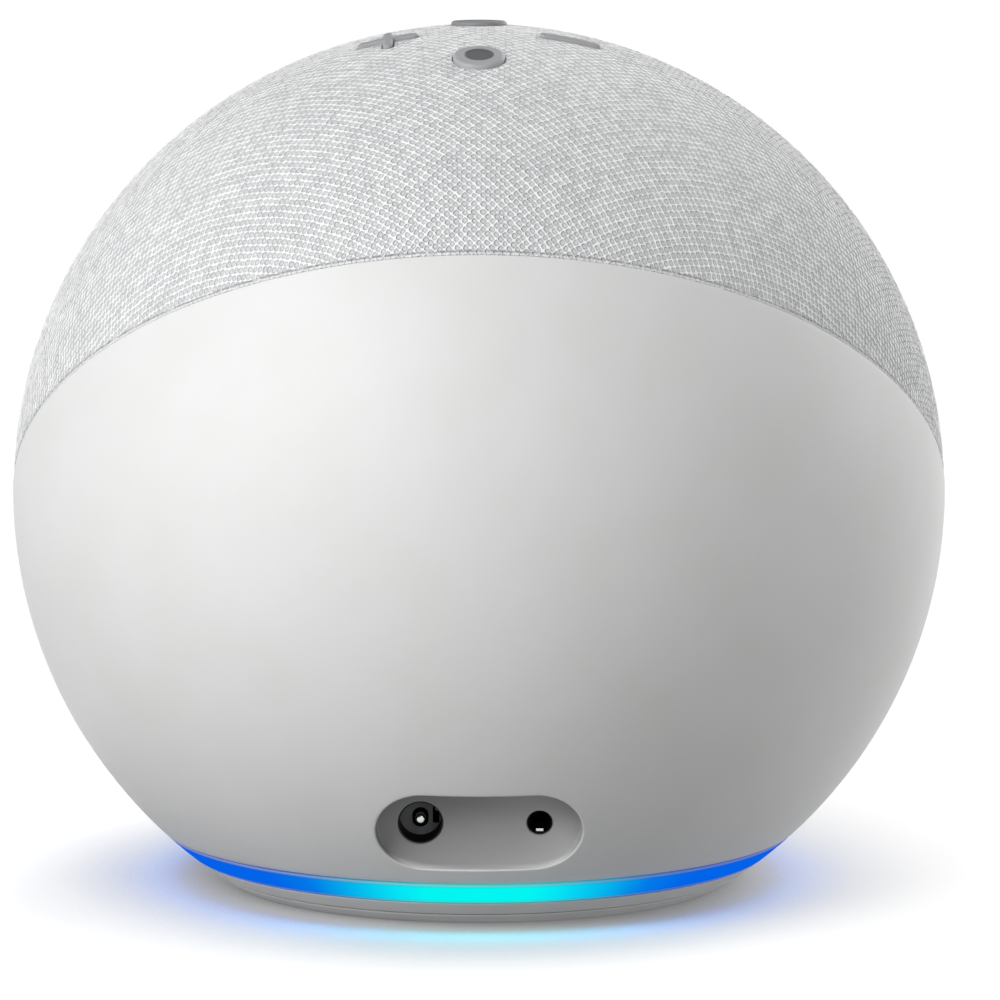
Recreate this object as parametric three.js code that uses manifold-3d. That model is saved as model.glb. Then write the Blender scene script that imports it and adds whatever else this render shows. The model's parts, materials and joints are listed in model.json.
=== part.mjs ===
// A ball-shaped smart speaker, in millimetres, +Z up, resting on z = 0.
// The back, with the socket pocket, faces -Y and the front faces +Y.
//
// The outer ball is split by one tilted plane: a moulded shell below and behind it, a
// fabric-covered grille above and in front of it. Three bottom slices of the same ball
// are the light ring, the base plate and the rubber foot. Inside, a baffle lies just
// under the split plane and carries the woofer, its enclosure and two tweeters.

import * as THREE from "three";
import { mergeVertices } from "three/addons/utils/BufferGeometryUtils.js";
import Module from "manifold-3d";

const wasm = await Module();
wasm.setup();

// ---------------------------------------------------------------- driving dimensions

const BODY_RADIUS = 72;
const CENTRE_HEIGHT = 60.8;
const SPLIT_TILT = THREE.MathUtils.degToRad(40.4); // split plane's normal leans to the front
const SPLIT_OFFSET = 0.5; // split plane's distance above the ball's centre
const GAP = 0.3; // clearance between neighbouring pieces

const FABRIC_THICKNESS = 0.7;
const GRILLE_WALL = 2.4;
const SHELL_WALL = 2.4;

const FOOT_TOP = 1.8;
const BASE_TOP = 3.95;
const RING_BOTTOM = BASE_TOP + GAP;
const RING_TOP = 7.9;
const SHELL_BOTTOM = RING_TOP + GAP;

const POCKET_TILT = THREE.MathUtils.degToRad(9.5); // pocket floor leans back at its foot
const POCKET_CENTRE = new THREE.Vector3(0, -51.35, 17.3);
const POCKET_WIDTH = 31.8;
const POCKET_LOW = -6.33; // along the floor, from the pocket's centre
const POCKET_HIGH = 8.55;
const POCKET_WALL = 2;
const JACK_HEIGHT = 0.85; // both sockets' axes, along the floor
const DC_JACK_X = -8.98;
const DC_HOLE_RADIUS = 3.475;
const AUDIO_JACK_X = 9.31;
const AUDIO_HOLE_RADIUS = 2;

const BUTTON_PROUD = 0.5; // how far the caps stand above the fabric
const BUTTON_UNDERSIDE = 124.6;
const BUTTON_FLANGE = 1; // height and overhang of the rim that keeps a cap in
const BUTTON_CLEARANCE = 0.35;
const BUTTON_BAR_LENGTH = 9.4;
const BUTTON_BAR_WIDTH = 1.6;
const SWITCH_TOP = BUTTON_UNDERSIDE - 0.8; // free travel above the switch

const BAFFLE_RADIUS = 67.5;
const BAFFLE_TOP = -0.5; // below the ball's centre, along the split plane's normal
const BAFFLE_BOTTOM = -3.5;
const WOOFER_RADIUS = 38;
const TWEETER_X = 51.5;
const BAFFLE_SCREW_CIRCLE = 64;
const BASE_SCREW_CIRCLE = 24;
const WOOFER_SCREW_CIRCLE = 38.8;
const SCREW_HOLE_RADIUS = 1.7; // clearance round every screw's shank
const SCREW_HOLE_SEGMENTS = 8;

const BODY_SEGMENTS = 32;
const BODY_RINGS = 18;
const INNER_SEGMENTS = 20;
const SMALL_SEGMENTS = 12;
const SCREW_SEGMENTS = 10;
const FULL_TURN = 2 * Math.PI;

// ---------------------------------------------------------------- finishes

const finish = (colour, roughness, metalness = 0) =>
  new THREE.MeshStandardMaterial({ color: colour, roughness, metalness });

const FABRIC = finish(0xdadbdc, 0.95);
const SHELL_PLASTIC = finish(0xd8d8d7, 0.55);
const BUTTON_RUBBER = finish(0xa5a6a8, 0.6);
const BUTTON_DARK = finish(0x98999b, 0.6);
const DIFFUSER = finish(0x1d7bff, 0.35);
const BASE_PLASTIC = finish(0xbfbfbf, 0.6);
const FOOT_RUBBER = finish(0xa9a9a9, 0.85);
const BLACK_PLASTIC = finish(0x1c1c1e, 0.5);
const GREY_PLASTIC = finish(0x4a4b4d, 0.5);
const WHITE_PLASTIC = finish(0xf2f2f0, 0.5);
const CIRCUIT_BOARD = finish(0x14452d, 0.5);
const CAST_METAL = finish(0xa8abad, 0.45, 0.9);
const STEEL = finish(0xb9bbbd, 0.3, 1);
const NICKEL = finish(0xd6d6d2, 0.25, 1);
const BRASS = finish(0xc2a04c, 0.35, 1);
const MAGNET = finish(0x6c6e72, 0.35, 0.9);
const COPPER = finish(0xb4653a, 0.4, 0.9);
const PAPER_CONE = finish(0x2a2a2c, 0.9);
const SOFT_RUBBER = finish(0x1a1a1a, 0.85);
const SPIDER_CLOTH = finish(0xb58a3c, 0.95);
const SILK = finish(0x34343a, 0.8);
const THERMAL_GEL = finish(0x7fa0b8, 0.9);
const FLEX_FILM = finish(0xb9722c, 0.5);

// ---------------------------------------------------------------- solids

function signedVolume(points, faces) {
  const corner = (i) => new THREE.Vector3().fromArray(points, 3 * i);
  let sum = 0;
  for (let i = 0; i < faces.length; i += 3) {
    const normal = corner(faces[i + 1]).cross(corner(faces[i + 2]));
    sum += corner(faces[i]).dot(normal);
  }
  return sum / 6;
}

// A closed geometry as a solid that can be joined and cut.
function solidOf(geometry) {
  const bare = geometry.clone();
  bare.deleteAttribute("normal");
  bare.deleteAttribute("uv");
  const merged = mergeVertices(bare);
  const corners = merged.index.array;
  const points = merged.attributes.position.array;
  const faces = [];
  for (let i = 0; i < corners.length; i += 3) {
    const [a, b, c] = corners.slice(i, i + 3);
    if (a !== b && b !== c && c !== a) faces.push(a, b, c);
  }
  if (signedVolume(points, faces) < 0) faces.reverse();
  const mesh = new wasm.Mesh({
    numProp: 3,
    vertProperties: points,
    triVerts: Uint32Array.from(faces),
  });
  return new wasm.Manifold(mesh);
}

function geometryOf(solid) {
  const { vertProperties, triVerts } = solid.getMesh();
  const geometry = new THREE.BufferGeometry();
  geometry.setAttribute("position", new THREE.BufferAttribute(vertProperties, 3));
  geometry.setIndex(new THREE.BufferAttribute(triVerts, 1));
  geometry.computeVertexNormals();
  return geometry;
}

const joined = (...solids) => solids.reduce((whole, next) => whole.add(next));
const cut = (solid, ...tools) => tools.reduce((rest, tool) => rest.subtract(tool), solid);

const ballRadiusAt = (height, radius = BODY_RADIUS) =>
  Math.sqrt(radius ** 2 - (CENTRE_HEIGHT - height) ** 2);

function ball(radius) {
  const geometry = new THREE.SphereGeometry(radius, BODY_SEGMENTS, BODY_RINGS);
  geometry.rotateX(Math.PI / 2);
  geometry.translate(0, 0, CENTRE_HEIGHT);
  return solidOf(geometry);
}

function box([x0, x1], [y0, y1], [z0, z1], frame) {
  const geometry = new THREE.BoxGeometry(x1 - x0, y1 - y0, z1 - z0);
  geometry.translate((x0 + x1) / 2, (y0 + y1) / 2, (z0 + z1) / 2);
  if (frame) geometry.applyMatrix4(frame);
  return solidOf(geometry);
}

// A solid turned about +Z from [radius, height] points; it closes on itself or on the axis.
function turned(profile, segments = INNER_SEGMENTS, frame) {
  const points = profile.map(([radius, height]) => new THREE.Vector2(radius, height));
  const first = points[0];
  const last = points[points.length - 1];
  if (first.x > 0 || last.x > 0) points.push(first.clone());
  const geometry = new THREE.LatheGeometry(points, segments);
  geometry.rotateX(Math.PI / 2);
  if (frame) geometry.applyMatrix4(frame);
  return solidOf(geometry);
}

function rod(radius, [z0, z1], [x, y] = [0, 0], segments = SMALL_SEGMENTS, frame) {
  const geometry = new THREE.CylinderGeometry(radius, radius, z1 - z0, segments);
  geometry.rotateX(Math.PI / 2);
  geometry.translate(x, y, (z0 + z1) / 2);
  if (frame) geometry.applyMatrix4(frame);
  return solidOf(geometry);
}

function prism(shape, [z0, z1], frame, curveSegments = 8) {
  const settings = { depth: z1 - z0, bevelEnabled: false, curveSegments };
  const geometry = new THREE.ExtrudeGeometry(shape, settings);
  geometry.translate(0, 0, z0);
  if (frame) geometry.applyMatrix4(frame);
  return solidOf(geometry);
}

// A rounded bar's outline: two straight sides and two half circles, along X.
function bar(length, width, [x, y] = [0, 0]) {
  const half = (length - width) / 2;
  const shape = new THREE.Shape();
  shape.absarc(x + half, y, width / 2, -Math.PI / 2, Math.PI / 2);
  shape.absarc(x - half, y, width / 2, Math.PI / 2, 1.5 * Math.PI);
  return shape;
}

// A flat flexible strip: its side view is a smooth line in the YZ plane.
function strip(path, thickness, [x0, x1], steps) {
  const line = new THREE.CatmullRomCurve3(path.map(([y, z]) => new THREE.Vector3(y, z, 0)));
  const near = [];
  const far = [];
  for (let i = 0; i <= steps; i += 1) {
    const point = line.getPoint(i / steps);
    const along = line.getTangent(i / steps);
    const side = new THREE.Vector2(-along.y, along.x).multiplyScalar(thickness / 2);
    near.push(new THREE.Vector2(point.x + side.x, point.y + side.y));
    far.unshift(new THREE.Vector2(point.x - side.x, point.y - side.y));
  }
  const yzPlane = new THREE.Matrix4().set(0, 0, 1, 0, 1, 0, 0, 0, 0, 1, 0, 0, 0, 0, 0, 1);
  return prism(new THREE.Shape([...near, ...far]), [x0, x1], yzPlane);
}

const onCircle = (radius, angle) => [radius * Math.cos(angle), radius * Math.sin(angle)];
const evenAngles = (count, start = 0) =>
  Array.from({ length: count }, (_, i) => start + (i * FULL_TURN) / count);

// ---------------------------------------------------------------- frames and pieces

const speaker = new THREE.Group();

function frameGroup(position, turn) {
  const group = new THREE.Group();
  group.position.copy(position);
  group.rotation.x = turn;
  group.updateMatrix();
  speaker.add(group);
  return group;
}

// Acoustic pieces: local +Z is the split plane's normal, and the origin is the ball's centre.
const acoustics = frameGroup(new THREE.Vector3(0, 0, CENTRE_HEIGHT), -SPLIT_TILT);

// Sockets: local X and Y lie in the pocket's floor, and local +Z points out of the pocket.
const sockets = frameGroup(POCKET_CENTRE, Math.PI / 2 + POCKET_TILT);

function piece(name, solid, material, group = speaker) {
  const mesh = new THREE.Mesh(geometryOf(solid), material);
  mesh.name = name;
  group.add(mesh);
}

// A pan-head screw along +Z: the profile runs from the shank's tip to the head's crown.
function screwSolid(headRadius, [tip, headBottom, headTop], place, segments) {
  const shank = headRadius / 2;
  const profile = [[0, tip], [shank, tip], [shank, headBottom], [headRadius, headBottom]];
  profile.push([headRadius, headTop], [0, headTop]);
  return turned(profile, segments, new THREE.Matrix4().makeTranslation(...place, 0));
}

const REACH = 200; // larger than the whole object
const aboveSplit = (offset) =>
  box([-REACH, REACH], [-REACH, REACH], [offset, REACH], acoustics.matrix);
const belowSplit = (offset) =>
  box([-REACH, REACH], [-REACH, REACH], [-REACH, offset], acoustics.matrix);
const aboveLevel = (height) => box([-REACH, REACH], [-REACH, REACH], [height, REACH]);

// ---------------------------------------------------------------- buttons

const BUTTONS = [
  { name: "action_button", place: [0, -15.44], radius: 4, material: BUTTON_RUBBER },
  { name: "microphone_off_button", place: [0, 9], radius: 4.3, material: BUTTON_DARK },
  { name: "volume_up_button", place: [-14.05, -2], bars: 2, material: BUTTON_RUBBER },
  { name: "volume_down_button", place: [14.05, -2], bars: 1, material: BUTTON_RUBBER },
];

// A vertical prism of a button's outline, grown by a margin: a disc, one bar or two crossed.
function buttonPrism({ place: [x, y], radius, bars }, margin, heights) {
  if (radius) return rod(radius + margin, heights, [x, y], INNER_SEGMENTS);
  const length = BUTTON_BAR_LENGTH + 2 * margin;
  const width = BUTTON_BAR_WIDTH + 2 * margin;
  const across = prism(bar(length, width, [x, y]), heights, undefined, 4);
  if (bars === 1) return across;
  const turnedBar = new THREE.Matrix4().makeRotationZ(Math.PI / 2).setPosition(x, y, 0);
  return joined(across, prism(bar(length, width), heights, turnedBar, 4));
}

const BAR_BUTTON_RADIUS = BUTTON_BAR_LENGTH / 2;

function buttonPieces() {
  const outside = ball(BODY_RADIUS + BUTTON_PROUD);
  const flangeTop = BUTTON_UNDERSIDE + BUTTON_FLANGE;
  for (const button of BUTTONS) {
    const flangeRadius = (button.radius ?? BAR_BUTTON_RADIUS) + BUTTON_FLANGE;
    const cap = buttonPrism(button, 0, [flangeTop - 0.2, REACH]).intersect(outside);
    const flange = rod(flangeRadius, [BUTTON_UNDERSIDE, flangeTop], button.place, INNER_SEGMENTS);
    piece(button.name, joined(cap, flange), button.material);
  }
}

const buttonHoles = () =>
  BUTTONS.map((button) => buttonPrism(button, BUTTON_CLEARANCE, [CENTRE_HEIGHT, REACH]));

// ---------------------------------------------------------------- outer ball

function fabricCover() {
  const skin = cut(ball(BODY_RADIUS), ball(BODY_RADIUS - FABRIC_THICKNESS));
  const half = skin.intersect(aboveSplit(SPLIT_OFFSET + GAP / 2));
  piece("fabric_cover", cut(half, ...buttonHoles()), FABRIC);
}

const SOUND_SLOT_ROWS = [
  { angle: 22, count: 6 },
  { angle: 44, count: 10 },
  { angle: 66, count: 14 },
];
const SOUND_SLOT = { length: 11, width: 4 };
const SOLID_TOP_ANGLE = THREE.MathUtils.degToRad(27); // no slots over the button board

function soundSlots() {
  const up = new THREE.Vector3(0, 0, 1).applyAxisAngle(new THREE.Vector3(1, 0, 0), SPLIT_TILT);
  const slots = [];
  for (const { angle, count } of SOUND_SLOT_ROWS) {
    const lean = THREE.MathUtils.degToRad(angle);
    for (const around of evenAngles(count, FULL_TURN / (2 * count))) {
      const frame = new THREE.Matrix4().makeRotationZ(around);
      frame.multiply(new THREE.Matrix4().makeRotationY(lean));
      const outward = new THREE.Vector3(0, 0, 1).transformDirection(frame);
      if (outward.angleTo(up) < SOLID_TOP_ANGLE) continue;
      frame.premultiply(acoustics.matrix);
      const { length, width } = SOUND_SLOT;
      const depth = [BODY_RADIUS - 8, BODY_RADIUS + 8];
      slots.push(box([-width / 2, width / 2], [-length / 2, length / 2], depth, frame));
    }
  }
  return slots;
}

function grilleDome() {
  const outer = BODY_RADIUS - FABRIC_THICKNESS - GAP;
  const wall = cut(ball(outer), ball(outer - GRILLE_WALL));
  const half = wall.intersect(aboveSplit(SPLIT_OFFSET + GAP / 2));
  piece("grille_dome", cut(half, ...buttonHoles(), ...soundSlots()), GREY_PLASTIC);
}

const FLANGE_INNER_RADIUS = 36; // shell's bottom flange, clamped under the heat sink
const FLANGE_TOP = 9.8;
const SCREW_BOSS_RADIUS = 3.6;
const SCREW_BOSS_ANGLES = evenAngles(3, Math.PI / 6);

function pocketPrism(margin, depths) {
  const height = POCKET_HIGH - POCKET_LOW + 2 * margin;
  const middle = (POCKET_HIGH + POCKET_LOW) / 2;
  return prism(bar(POCKET_WIDTH + 2 * margin, height, [0, middle]), depths, sockets.matrix);
}

function rearShell() {
  const inside = ball(BODY_RADIUS - SHELL_WALL);
  const joinDepth = ball(BODY_RADIUS - SHELL_WALL / 2);
  const wall = cut(ball(BODY_RADIUS), inside);
  const flange = turned(
    [
      [FLANGE_INNER_RADIUS, SHELL_BOTTOM],
      [ballRadiusAt(SHELL_BOTTOM) - SHELL_WALL / 2, SHELL_BOTTOM],
      [ballRadiusAt(FLANGE_TOP) - SHELL_WALL / 2, FLANGE_TOP],
      [FLANGE_INNER_RADIUS, FLANGE_TOP],
    ],
    BODY_SEGMENTS,
  );
  const pocketHousing = pocketPrism(POCKET_WALL, [-POCKET_WALL, 14]).intersect(joinDepth);
  const bosses = SCREW_BOSS_ANGLES.map((angle) => {
    const place = onCircle(BAFFLE_SCREW_CIRCLE, angle);
    const depths = [-34, BAFFLE_BOTTOM - GAP];
    return rod(SCREW_BOSS_RADIUS, depths, place, SMALL_SEGMENTS, acoustics.matrix);
  }).map((boss) => boss.intersect(joinDepth));
  const screwHoles = SCREW_BOSS_ANGLES.map((angle) => {
    const place = onCircle(BAFFLE_SCREW_CIRCLE, angle);
    return rod(SCREW_HOLE_RADIUS, [-15, 0], place, SCREW_HOLE_SEGMENTS, acoustics.matrix);
  });
  const jackHole = (x, radius) =>
    rod(radius, [-5, 5], [x, JACK_HEIGHT], INNER_SEGMENTS, sockets.matrix);
  const whole = joined(wall, flange, pocketHousing, ...bosses)
    .intersect(belowSplit(SPLIT_OFFSET - GAP / 2))
    .intersect(aboveLevel(SHELL_BOTTOM));
  const opened = cut(
    whole,
    pocketPrism(0, [0, 40]),
    jackHole(DC_JACK_X, DC_HOLE_RADIUS),
    jackHole(AUDIO_JACK_X, AUDIO_HOLE_RADIUS),
    ...screwHoles,
  );
  piece("rear_shell", opened, SHELL_PLASTIC);
}

// ---------------------------------------------------------------- light ring and base

const RING_INNER_RADIUS = 43.9;
const LED_COUNT = 16;
const LED_CIRCLE = 42.3;
const LED_BOARD_INNER_RADIUS = 35.5;
const LED_BOARD_OUTER_RADIUS = 43.4;
const LED_BOARD_TOP = 5.7;
const FOOT_INNER_RADIUS = 31;
const BASE_RECESS = 1.2; // base plate's middle stands this far above the table
const INSERT_RADIUS = 5.7;
const SCREW_HEAD_RADIUS = 2.5;
const SCREW_HEAD_ROOM = 2.9; // radius of the pocket round each base screw's head
const THREAD_RADIUS = 3.175; // quarter-inch camera thread, at its major diameter
const BASE_SCREW_ANGLES = evenAngles(3, Math.PI / 2);

function lightRing() {
  const middle = (RING_BOTTOM + RING_TOP) / 2;
  const profile = [
    [RING_INNER_RADIUS, RING_BOTTOM],
    [ballRadiusAt(RING_BOTTOM), RING_BOTTOM],
    [ballRadiusAt(middle), middle],
    [ballRadiusAt(RING_TOP), RING_TOP],
    [RING_INNER_RADIUS, RING_TOP],
  ];
  piece("light_ring", turned(profile, BODY_SEGMENTS), DIFFUSER);
}

function ledBoard() {
  const board = turned(
    [
      [LED_BOARD_INNER_RADIUS, RING_BOTTOM],
      [LED_BOARD_OUTER_RADIUS, RING_BOTTOM],
      [LED_BOARD_OUTER_RADIUS, LED_BOARD_TOP],
      [LED_BOARD_INNER_RADIUS, LED_BOARD_TOP],
    ],
    BODY_SEGMENTS,
  );
  const leds = evenAngles(LED_COUNT).map((angle) => {
    const frame = new THREE.Matrix4().makeRotationZ(angle);
    const radial = [LED_CIRCLE - 0.8, LED_CIRCLE + 0.8];
    return box(radial, [-1.5, 1.5], [LED_BOARD_TOP - 0.2, 7], frame);
  });
  piece("led_board", joined(board, ...leds), CIRCUIT_BOARD);
}

function lightReflector() {
  const profile = [
    [LED_BOARD_INNER_RADIUS, 6.2],
    [LED_BOARD_INNER_RADIUS + 0.8, 6.2],
    [LED_BOARD_INNER_RADIUS + 0.8, 7.35],
    [LED_BOARD_OUTER_RADIUS + 0.1, 7.35],
    [LED_BOARD_OUTER_RADIUS + 0.1, RING_TOP],
    [LED_BOARD_INNER_RADIUS, RING_TOP],
  ];
  piece("light_reflector", turned(profile, INNER_SEGMENTS), WHITE_PLASTIC);
}

function basePlate() {
  const footTop = FOOT_TOP + GAP;
  const hub = INSERT_RADIUS + GAP;
  const profile = [
    [hub, BASE_RECESS],
    [FOOT_INNER_RADIUS - GAP, BASE_RECESS],
    [FOOT_INNER_RADIUS - GAP, footTop],
    [ballRadiusAt(footTop), footTop],
    [ballRadiusAt(BASE_TOP), BASE_TOP],
    [28.6, BASE_TOP],
    [28.6, 3],
    [8.5, 3],
    [8.5, 8.5],
    [hub, 8.5],
  ];
  const plate = turned(profile, BODY_SEGMENTS);
  const bosses = BASE_SCREW_ANGLES.map((angle) =>
    rod(4.2, [2, 4.6], onCircle(BASE_SCREW_CIRCLE, angle)),
  );
  const holes = BASE_SCREW_ANGLES.flatMap((angle) => {
    const place = onCircle(BASE_SCREW_CIRCLE, angle);
    const through = rod(SCREW_HOLE_RADIUS, [0, 6], place, SCREW_HOLE_SEGMENTS);
    return [rod(SCREW_HEAD_ROOM, [0, 3], place), through];
  });
  piece("base_plate", cut(joined(plate, ...bosses), ...holes), BASE_PLASTIC);
}

function rubberFoot() {
  const middle = FOOT_TOP / 2;
  const profile = [
    [FOOT_INNER_RADIUS, 0],
    [ballRadiusAt(0) - 0.4, 0],
    [ballRadiusAt(middle), middle],
    [ballRadiusAt(FOOT_TOP), FOOT_TOP],
    [FOOT_INNER_RADIUS, FOOT_TOP],
  ];
  piece("rubber_foot", turned(profile, BODY_SEGMENTS), FOOT_RUBBER);
}

function tripodInsert() {
  const barrel = rod(INSERT_RADIUS, [1.5, 9.4], [0, 0], INNER_SEGMENTS);
  const thread = rod(THREAD_RADIUS, [0, 8.2], [0, 0], INNER_SEGMENTS);
  piece("tripod_insert", cut(barrel, thread), BRASS);
}

function baseScrews() {
  BASE_SCREW_ANGLES.forEach((angle, i) => {
    const place = onCircle(BASE_SCREW_CIRCLE, angle);
    const [x, y] = place;
    const screw = screwSolid(SCREW_HEAD_RADIUS, [10.5, 2.7, 1.5], place, SMALL_SEGMENTS);
    const recess = joined(
      box([x - 1.2, x + 1.2], [y - 0.3, y + 0.3], [1, 2.1]),
      box([x - 0.3, x + 0.3], [y - 1.2, y + 1.2], [1, 2.1]),
    );
    piece(`base_screw_${i + 1}`, cut(screw, recess), STEEL);
  });
}

// ---------------------------------------------------------------- heat sink and electronics

const BOARD_RADIUS = 42;
const BOARD_BACK = -31; // flat edge that leaves room for the sockets
const SINK_BOTTOM = FLANGE_TOP + GAP;
const SINK_TOP = 12.1;
const BOARD_BOTTOM = 13.6;
const BOARD_TOP = 15.2;

// A disc with one straight edge at the back.
function dShape(radius, back) {
  const edge = Math.asin(back / radius);
  const shape = new THREE.Shape();
  shape.absarc(0, 0, radius, edge, Math.PI - edge);
  return shape;
}

function heatSink() {
  const plate = prism(dShape(BOARD_RADIUS, BOARD_BACK), [SINK_BOTTOM, SINK_TOP], undefined, 14);
  const fins = [-28, -21, -14, -7, 0, 7, 14, 21, 28].map((x) => {
    const reach = Math.sqrt(33 ** 2 - (Math.abs(x) + 1) ** 2);
    return box([x - 0.7, x + 0.7], [-reach, reach], [6, SINK_BOTTOM + 0.5]);
  });
  const bosses = BASE_SCREW_ANGLES.map((angle) =>
    rod(4, [4.9, SINK_BOTTOM + 0.5], onCircle(BASE_SCREW_CIRCLE, angle)),
  );
  const screwHoles = BASE_SCREW_ANGLES.map((angle) =>
    rod(SCREW_HOLE_RADIUS, [0, 11], onCircle(BASE_SCREW_CIRCLE, angle), SCREW_HOLE_SEGMENTS),
  );
  const hubRoom = rod(9.2, [0, SINK_BOTTOM - 0.1], [0, 0], INNER_SEGMENTS);
  const whole = joined(plate, cut(joined(...fins), hubRoom), ...bosses);
  piece("heat_sink", cut(whole, ...screwHoles), CAST_METAL);
}

function mainBoard() {
  const board = prism(dShape(BOARD_RADIUS - 1, BOARD_BACK), [BOARD_BOTTOM, BOARD_TOP], undefined, 14);
  const low = BOARD_TOP - 0.2;
  const chips = [
    box([22, 34], [-6, 6], [low, 16.8]),
    box([-33, -24], [4, 13], [low, 16.8]),
    box([-34, -26], [-16, -6], [low, 19]),
    box([-8, 8], [28, 33], [low, 18]),
    rod(4, [low, 20], [24, 20]),
    rod(4, [low, 20], [24, -17]),
  ];
  piece("main_board", joined(board, ...chips), CIRCUIT_BOARD);
}

function electronics() {
  heatSink();
  piece("thermal_pad", box([-11, 11], [-9, 9], [SINK_TOP + GAP, BOARD_BOTTOM - GAP]), THERMAL_GEL);
  mainBoard();
  const can = box([-14, 14], [-11, 11], [BOARD_TOP + GAP, 17.1]);
  const canInside = box([-13.5, 13.5], [-10.5, 10.5], [BOARD_TOP, 16.7]);
  piece("shield_can", cut(can, canInside), NICKEL);
  piece("antenna", box([-31, -13], [-60.4, -59.6], [48, 60]), COPPER);
}

// ---------------------------------------------------------------- sockets

const JACK_FRONT = -POCKET_WALL - GAP;

function dcJack() {
  const at = [DC_JACK_X, JACK_HEIGHT];
  const [x, y] = at;
  const block = box([x - 4.7, x + 4.7], [y - 5.4, y + 5.4], [JACK_FRONT - 14, JACK_FRONT]);
  const mouth = rod(3.3, [JACK_FRONT - 1.4, 0], at, INNER_SEGMENTS);
  const pinRoom = rod(1.25, [JACK_FRONT - 11, 0], at);
  const contactRoom = box([x + 1.9, x + 3.1], [y - 1.5, y + 1.5], [JACK_FRONT - 9, 0]);
  piece("dc_jack_body", cut(block, mouth, pinRoom, contactRoom), BLACK_PLASTIC, sockets);
  const pin = turned([[0, -13], [0.8, -13], [0.8, -2], [0.5, -1.5], [0, -1.5]], SMALL_SEGMENTS);
  const inPlace = new THREE.Matrix4().makeTranslation(x, y, 0);
  piece("dc_jack_pin", solidOf(geometryOf(pin).applyMatrix4(inPlace)), NICKEL, sockets);
  const leaf = box([x + 2.3, x + 2.7], [y - 1, y + 1], [JACK_FRONT - 8.5, JACK_FRONT - 2]);
  piece("dc_jack_contact", leaf, NICKEL, sockets);
}

function audioJack() {
  const [x, y] = [AUDIO_JACK_X, JACK_HEIGHT];
  const block = box([x - 3.2, x + 3.2], [y - 3, y + 3], [JACK_FRONT - 13, JACK_FRONT]);
  const bore = rod(1.8, [JACK_FRONT - 11, 0], [x, y], INNER_SEGMENTS);
  const slot = box([x - 0.8, x + 0.8], [y - 2.3, y], [JACK_FRONT - 8, 0]);
  piece("audio_jack_body", cut(block, bore, slot), BLACK_PLASTIC, sockets);
  const leaf = box([x - 0.5, x + 0.5], [y - 1.95, y - 1.55], [JACK_FRONT - 7.5, JACK_FRONT - 0.6]);
  piece("audio_jack_contact", leaf, NICKEL, sockets);
}

function socketBoard() {
  const top = JACK_HEIGHT - 5.4 - GAP;
  const board = box([-14, 14], [top - 1.6, top], [-17, -5]);
  piece("socket_board", board, CIRCUIT_BOARD, sockets);
  const path = [[-36.4, 15.7], [-34, 17], [-30.6, 17], [-27.5, 15.8]];
  piece("socket_cable", strip(path, 0.4, [-3, 5], 8), FLEX_FILM);
}

// ---------------------------------------------------------------- loudspeakers

const TUB_RADIUS = 41;

function enclosure() {
  const disc = rod(BAFFLE_RADIUS, [BAFFLE_BOTTOM, BAFFLE_TOP], [0, 0], BODY_SEGMENTS);
  const through = [BAFFLE_BOTTOM - 1, BAFFLE_TOP + 1];
  const hole = (radius, place, segments) => rod(radius, through, place, segments);
  const screwHole = (place) => hole(SCREW_HOLE_RADIUS, place, SCREW_HOLE_SEGMENTS);
  const baffle = cut(
    disc,
    hole(34.7, [0, 0], INNER_SEGMENTS),
    hole(10.5, [TWEETER_X, 0], INNER_SEGMENTS),
    hole(10.5, [-TWEETER_X, 0], INNER_SEGMENTS),
    ...evenAngles(4, Math.PI / 4).map((a) => screwHole(onCircle(WOOFER_SCREW_CIRCLE, a))),
    ...SCREW_BOSS_ANGLES.map((a) => screwHole(onCircle(BAFFLE_SCREW_CIRCLE, a))),
    box([6.5, 21.5], [-80, -60], through), // the button cable's way past the baffle
  );
  piece("speaker_baffle", baffle, BLACK_PLASTIC, acoustics);

  const gasketTop = BAFFLE_BOTTOM - GAP;
  const gasket = [
    [39, gasketTop],
    [TUB_RADIUS, gasketTop],
    [TUB_RADIUS, gasketTop - 0.8],
    [39, gasketTop - 0.8],
  ];
  piece("enclosure_gasket", turned(gasket), SOFT_RUBBER, acoustics);

  const tubTop = gasketTop - 0.8 - GAP;
  const tub = [
    [0, -38.9],
    [22, -37.2],
    [30, -31],
    [38, -20],
    [TUB_RADIUS, -13],
    [TUB_RADIUS, tubTop],
    [38.9, tubTop],
    [38.9, -12.6],
    [36, -19],
    [28.4, -29.6],
    [20.8, -35.5],
    [17.5, -36.9],
    [0, -36.9],
  ];
  piece("speaker_tub", turned(tub), BLACK_PLASTIC, acoustics);
}

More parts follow.
